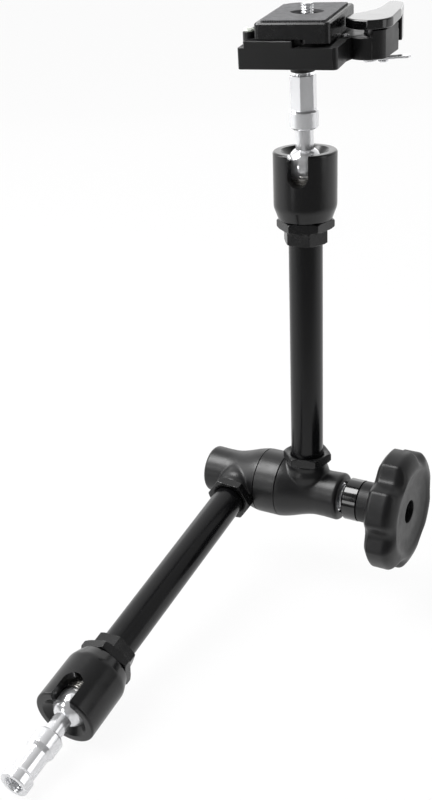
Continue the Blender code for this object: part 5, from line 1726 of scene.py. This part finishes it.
    def plate_outline(self, left: float) -> Line:
        """List the outline of the plate, or of the rail under it, from its left side on."""
        return box_outline(left, self.plate_right, -self.plate_half, self.plate_half, self.plate_corner, 8)

    def build_plate(self, shop: Paintshop) -> None:
        """Cast the camera plate, with its rail, pocket and screw recess.

        Args:
            shop: Dresses the pieces and puts them on their bodies.
        """
        wide, narrow = self.plate_edge, 0.1 * self.plate_edge
        plate = slab(self.plate_outline(self.plate_left),
                     [(0.0, self.plate_bottom), (0.0, self.plate_top - wide),
                      (narrow, self.plate_top - wide + narrow), (wide - narrow, self.plate_top - narrow),
                      (wide, self.plate_top)])
        rail = slab(self.plate_outline(self.rail_start),
                    [(0.3 * MM, self.plate_bottom - self.rail_height),
                     (0.0, self.plate_bottom - self.rail_height + 0.3 * MM), (0.0, self.plate_bottom + MM)])
        piece = new_object("camera_plate", merged(plate, rail), self.frame)
        top = self.plate_top + MM
        spot = at(self.screw)
        carve(piece, [
            slab(self.pad_outline(self.pad_margin - self.clear),
                 [(0.0, self.plate_top - self.pad_pocket), (0.0, top)]),
            slab(self.recess_outline(), [(0.0, self.plate_top - self.recess_depth), (0.0, top)]),
            moved(bar(self.stud_radius + self.clear, self.plate_bottom - PAST, self.plate_top, 40), spot),
            moved(bar(self.screw_head_radius + self.clear, self.plate_bottom - PAST,
                      self.plate_bottom + self.screw_head_height + 2 * self.clear, 64), spot)], True)
        shop.fit(piece, "quick_release_plate", ENAMEL_NUT)
        low = self.plate_top - self.pad_pocket + self.clear
        pad = new_object("grip_pad", slab(self.pad_outline(self.pad_margin, True),
                                          [(0.0, low), (0.0, low + self.pad_thickness - 0.15 * MM),
                                           (0.12 * MM, low + self.pad_thickness)]), self.frame)
        carve(pad, [slab(self.recess_outline(), [(0.0, low - MM), (0.0, low + 3 * MM)])])
        shop.fit(pad, "camera_pad", PAD)

    def build_screw(self, shop: Paintshop) -> None:
        """Turn and thread the camera screw.

        Args:
            shop: Dresses the pieces and puts them on their bodies.
        """
        head_bottom = self.plate_bottom + self.clear
        head_top = head_bottom + self.screw_head_height
        head = turned(fillet([(0.0, head_top), (self.screw_head_radius, head_top, 0.4 * MM),
                              (self.screw_head_radius, head_bottom, 0.4 * MM), (0.0, head_bottom)], 3), 72)
        inner = self.stud_radius - 0.6 * MM
        core = turned(fillet([(0.0, self.screw_top), (inner, self.screw_top, 0.2 * MM),
                              (inner, head_top - 0.2 * MM), (0.0, head_top - 0.2 * MM)], 2), 48)
        ridges = thread(self.stud_radius, 0.62 * MM, QUARTER_INCH_PITCH, head_top,
                        self.screw_top - 0.1 * MM, 48)
        piece = new_object("quarter_inch_screw", merged(head, core, ridges), self.frame @ at(self.screw))
        shop.fit(piece, "camera_screw", CHROME)

    def build_lever(self, shop: Paintshop) -> None:
        """Cast the locking lever: cam head, arm and tab.

        Args:
            shop: Dresses the pieces and puts them on their bodies.
        """
        outer = self.lever_head + 2.0 * MM
        inner = outer - self.lever_width
        reach = self.lever_reach
        corners: list[Corner] = list(arc((0, 0), self.lever_head, 128, 200, 16))
        corners += arc((0, 0), self.lever_head - self.cam_relief, 212, 262, 12)
        corners += arc((0, 0), self.lever_head, 275, 355, 20)
        lean = Matrix.Rotation(self.lever_lean, 4, "Z")
        arm = [(outer, 0.42 * reach, 12 * MM), (outer, 0.88 * reach, 4 * MM),
               (outer - 5.0 * MM, reach, 2.6 * MM),
               (outer - 8.4 * MM, 0.965 * reach, 1.6 * MM), (inner - 1.4 * MM, 0.80 * reach, 6 * MM),
               (inner - 2.6 * MM, 0.62 * reach, 6 * MM), (inner - 5.4 * MM, 0.44 * reach, 6 * MM),
               (-3.6 * MM, 0.32 * reach, 5 * MM)]
        for across, along, corner in arm:
            spot = lean @ Vector((across, along, 0))
            corners.append((spot.x, spot.y, corner))
        plate = slab(fillet(corners, 6, True),
                     rounded_levels(self.lever_bottom, self.lever_top, self.lever_edge, 4))
        front = 0.72 * reach - self.tab_length / 2
        back = 0.72 * reach + self.tab_length / 2
        outline = box_outline(outer - self.tab_thickness, outer - self.proud, front, back, 0.8 * MM, 5)
        levels = rounded_levels(self.tab_bottom, self.lever_top - 1.2 * MM, 0.5 * MM)
        tab = moved(slab(outline, levels), lean)
        piece = new_object("cam_lever", merged(plate, tab), self.frame @ at(self.pivot))
        hole = bar(self.pin_radius + self.clear, self.lever_bottom - MM, self.lever_top - 1.2 * MM, 48)
        carve(piece, [hole], True)
        shop.fit(piece, "clamp_lever", LACQUER)

    def build_catch(self, shop: Paintshop) -> None:
        """Press the thin safety catch.

        Args:
            shop: Dresses the pieces and puts them on their bodies.
        """
        half = self.catch_width / 2
        reach = self.catch_reach
        corners: list[Corner] = list(arc((0, 0), self.catch_eye, 60, 300, 24))
        corners += [(0.45 * reach, 0.4 * MM - half, 6 * MM)]
        corners += arc((reach - half, 0), half, -90, 90, 14)
        corners += [(0.45 * reach, half - 0.4 * MM, 6 * MM)]
        high = self.bottom - self.clear
        shape = slab(fillet(corners, 5, True),
                     rounded_levels(high - self.catch_thickness, high, 0.25 * MM, 2))
        frame = self.frame @ at(self.catch) @ Matrix.Rotation(self.catch_turn, 4, "Z")
        piece = new_object("safety_catch_blade", shape, frame)
        carve(piece, [bar(self.catch_hole, high - PAST, high + PAST, 40)])
        shop.fit(piece, "safety_lever", CHROME)

    def build(self, shop: Paintshop) -> None:
        """Build the whole clamp.

        Args:
            shop: Dresses the pieces and puts them on their bodies.
        """
        self.build_body(shop)
        self.build_small_parts(shop)
        self.build_plate(shop)
        self.build_screw(shop)
        self.build_lever(shop)
        self.build_catch(shop)


def box_outline(left: float, right: float, front: float, back: float, corner: float, steps: int = 4) -> Line:
    """List a rectangle with rounded corners, anticlockwise."""
    return fillet([(left, front, corner), (right, front, corner),
                   (right, back, corner), (left, back, corner)], steps, True)


# ---------------------------------------------------------------- studio


@dataclass(frozen=True)
class Lamp:
    """One soft box: where it stands, how large and how strong it is."""

    name: str
    place: tuple[float, float, float]
    size: tuple[float, float]
    power: float


@dataclass(frozen=True)
class Studio:
    """The pale floor, the soft light and the photograph's camera."""

    aim: tuple[float, float, float] = (0.02, 0.18, 0.13)
    floor_height: float = -7.7 * MM
    lamps: tuple[Lamp, ...] = (
        Lamp("upper_left_soft_box", (-0.6, -0.13, 1.26), (0.75, 0.75), 19.0),
        Lamp("front_left_strip", (-0.6, -0.84, 0.71), (0.3, 0.35), 2.2),
        Lamp("left_soft_box", (-1.15, -0.15, 0.7), (0.7, 1.2), 6.0),
        Lamp("back_soft_box", (-0.74, 1.55, 0.5), (1.7, 0.6), 1.8),
        Lamp("low_left_card", (-0.42, -1.0, 0.13), (0.25, 0.4), 1.1),
        Lamp("right_soft_box", (1.2, 0.35, 0.4), (0.4, 1.2), 2.0),
    )
    front_way: tuple[float, float, float] = (0.483, -0.876, 0.0)
    front_strength: float = 0.16
    back_strength: float = 1.0
    backdrop: float = 1.0
    clear_share: float = 0.94
    # Painted light: in reflections the floor glows this strongly behind the arm and this weakly in front of
    # it, like a dark card before the arm; the fade says where it changes.
    painted_floor_glow: tuple[float, float] = (0.9, 0.2)
    painted_glow_fade: tuple[float, float] = (-0.2, 0.35)
    wall_fade: tuple[float, float] = (-0.9, 0.35)
    sensor_height: float = 36.0
    camera_place: tuple[float, float, float] = (0.31337, -0.32226, 0.39726)
    camera_turn: tuple[float, float, float] = (64.709, 2.7513, 30.3818)
    focal_pixels: float = 1161.26
    principal: tuple[float, float] = (194.02, 422.55)
    frame_size: tuple[int, int] = (432, 800)

    def fade(self, tree: bpy.types.NodeTree, way: bpy.types.NodeSocket, reach: Sequence[float],
             values: Sequence[float]) -> bpy.types.NodeSocket:
        """Fade a value from the side behind the arm to the side in front of it.

        Args:
            tree: The tree that gets the nodes.
            way: The socket that tells where the value is asked for.
            reach: Distances to the front at which the fade starts and ends.
            values: The values at both ends.

        Returns:
            The socket that carries the value.
        """
        front = add_node(tree, "ShaderNodeVectorMath", {"operation": "DOT_PRODUCT"}, {0: way})
        front.inputs[1].default_value = self.front_way
        steps = add_node(tree, "ShaderNodeMapRange",
                         {"interpolation_type": "SMOOTHSTEP", "From Min": reach[0], "From Max": reach[1],
                          "To Min": values[0], "To Max": values[1]}, {"Value": front.outputs["Value"]})
        return steps.outputs["Result"]

    def build_floor(self) -> None:
        """Lay the pale floor.

        The camera sees through most of it, so that a pose which reaches below it stays in view. In
        reflections it glows as painted light, bright behind the arm and dim in front of it.
        """
        shape = bmesh.new()
        bmesh.ops.create_grid(shape, x_segments=8, y_segments=8, size=6.0)
        floor = new_object("studio_floor", shape, Matrix.Translation((0, 0, self.floor_height)))
        material = bpy.data.materials.new("white_paper_with_painted_glow")
        material.use_nodes = True
        tree = material.node_tree
        tree.nodes.clear()
        path = add_node(tree, "ShaderNodeLightPath")
        seen = add_node(tree, "ShaderNodeMath", {"operation": "MAXIMUM"},
                        {0: path.outputs["Is Camera Ray"], 1: path.outputs["Is Glossy Ray"]})
        spot = add_node(tree, "ShaderNodeTexCoord").outputs["Object"]
        # Painted light: the floor's glow in reflections, bright behind the arm and dim in front of it.
        glow = self.fade(tree, spot, self.painted_glow_fade, self.painted_floor_glow)
        share = add_node(tree, "ShaderNodeMapRange", {"To Max": self.clear_share}, {"Value": seen.outputs[0]})
        paper = add_node(tree, "ShaderNodeBsdfDiffuse", {"Color": linear("#F4F4F4")})
        white = add_node(tree, "ShaderNodeEmission", {"Color": (1, 1, 1, 1)}, {"Strength": glow})
        clear = add_node(tree, "ShaderNodeBsdfTransparent")
        view = add_node(tree, "ShaderNodeMixShader", {},
                        {0: path.outputs["Is Camera Ray"], 1: white.outputs[0], 2: clear.outputs[0]})
        mix = add_node(tree, "ShaderNodeMixShader", {},
                       {0: share.outputs[0], 1: paper.outputs[0], 2: view.outputs[0]})
        add_node(tree, "ShaderNodeOutputMaterial", {}, {"Surface": mix.outputs[0]})
        floor.data.materials.append(material)

    def build_world(self) -> None:
        """Light the room: a white backdrop behind, darker where the camera stands, white to the camera."""
        world = bpy.data.worlds.new("soft_room")
        bpy.context.scene.world = world
        world.use_nodes = True
        tree = world.node_tree
        tree.nodes.clear()
        path = add_node(tree, "ShaderNodeLightPath")
        seen = add_node(tree, "ShaderNodeMath", {"operation": "MAXIMUM"},
                        {0: path.outputs["Is Camera Ray"], 1: path.outputs["Is Transmission Ray"]})
        way = add_node(tree, "ShaderNodeTexCoord").outputs["Generated"]
        wall = self.fade(tree, way, self.wall_fade, (self.back_strength, self.front_strength))
        strength = add_node(tree, "ShaderNodeMix", {"data_type": "FLOAT", "B": self.backdrop},
                            {"Factor": seen.outputs[0], "A": wall})
        room = add_node(tree, "ShaderNodeBackground", {"Color": (1, 1, 1, 1)},
                        {"Strength": strength.outputs[0]})
        add_node(tree, "ShaderNodeOutputWorld", {}, {"Surface": room.outputs[0]})

    def build_lamps(self) -> None:
        """Hang the soft boxes, each turned to the object's middle."""
        for lamp in self.lamps:
            light = bpy.data.lights.new(lamp.name, "AREA")
            light.shape = "RECTANGLE"
            light.size, light.size_y = lamp.size
            light.energy = lamp.power
            holder = bpy.data.objects.new(lamp.name, light)
            holder.location = lamp.place
            way = Vector(self.aim) - Vector(lamp.place)
            holder.rotation_euler = way.to_track_quat("-Z", "Y").to_euler()
            holder.visible_camera = False
            bpy.context.scene.collection.objects.link(holder)

    def build_camera(self) -> None:
        """Set the camera where the photograph was taken from."""
        width, height = self.frame_size
        lens = bpy.data.cameras.new("photo_camera")
        lens.sensor_fit = "VERTICAL"
        lens.sensor_height = self.sensor_height
        lens.lens = self.focal_pixels * self.sensor_height / height
        lens.shift_x = (width / 2 - self.principal[0]) / height
        lens.shift_y = (self.principal[1] - height / 2) / height
        lens.clip_start = 0.01
        camera = bpy.data.objects.new("photo_camera", lens)
        camera.location = self.camera_place
        camera.rotation_euler = [math.radians(angle) for angle in self.camera_turn]
        bpy.context.scene.collection.objects.link(camera)
        bpy.context.scene.camera = camera

    def build(self) -> None:
        """Set up the whole studio."""
        self.build_floor()
        self.build_world()
        self.build_lamps()
        self.build_camera()
        bpy.context.scene.view_settings.view_transform = "Standard"


def main() -> None:
    """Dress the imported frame, light it and set the camera."""
    logging.basicConfig(level=logging.INFO, format="%(name)s: %(message)s")
    for old in list(bpy.data.objects):
        bpy.data.objects.remove(old, do_unlink=True)
    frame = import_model()
    layout = Layout()
    shop = Paintshop(frame["nodes"])
    Stems(layout).build(shop)
    Socket(Side.LOWER, layout.lower_ball(), math.pi - layout.lower_slot_angle).build(shop)
    Arm(Side.LOWER, layout.lower(), math.radians(-5.4)).build(shop)
    Elbow(layout.hinge()).build(shop)
    Arm(Side.UPPER, layout.upper(), math.radians(14.2)).build(shop)
    Knob(layout.hinge()).build(shop)
    Socket(Side.UPPER, layout.upper_centre(), layout.upper_slot_angle).build(shop)
    Clamp(layout.clamp()).build(shop)
    Studio().build()


if __name__ == "__main__":
    main()
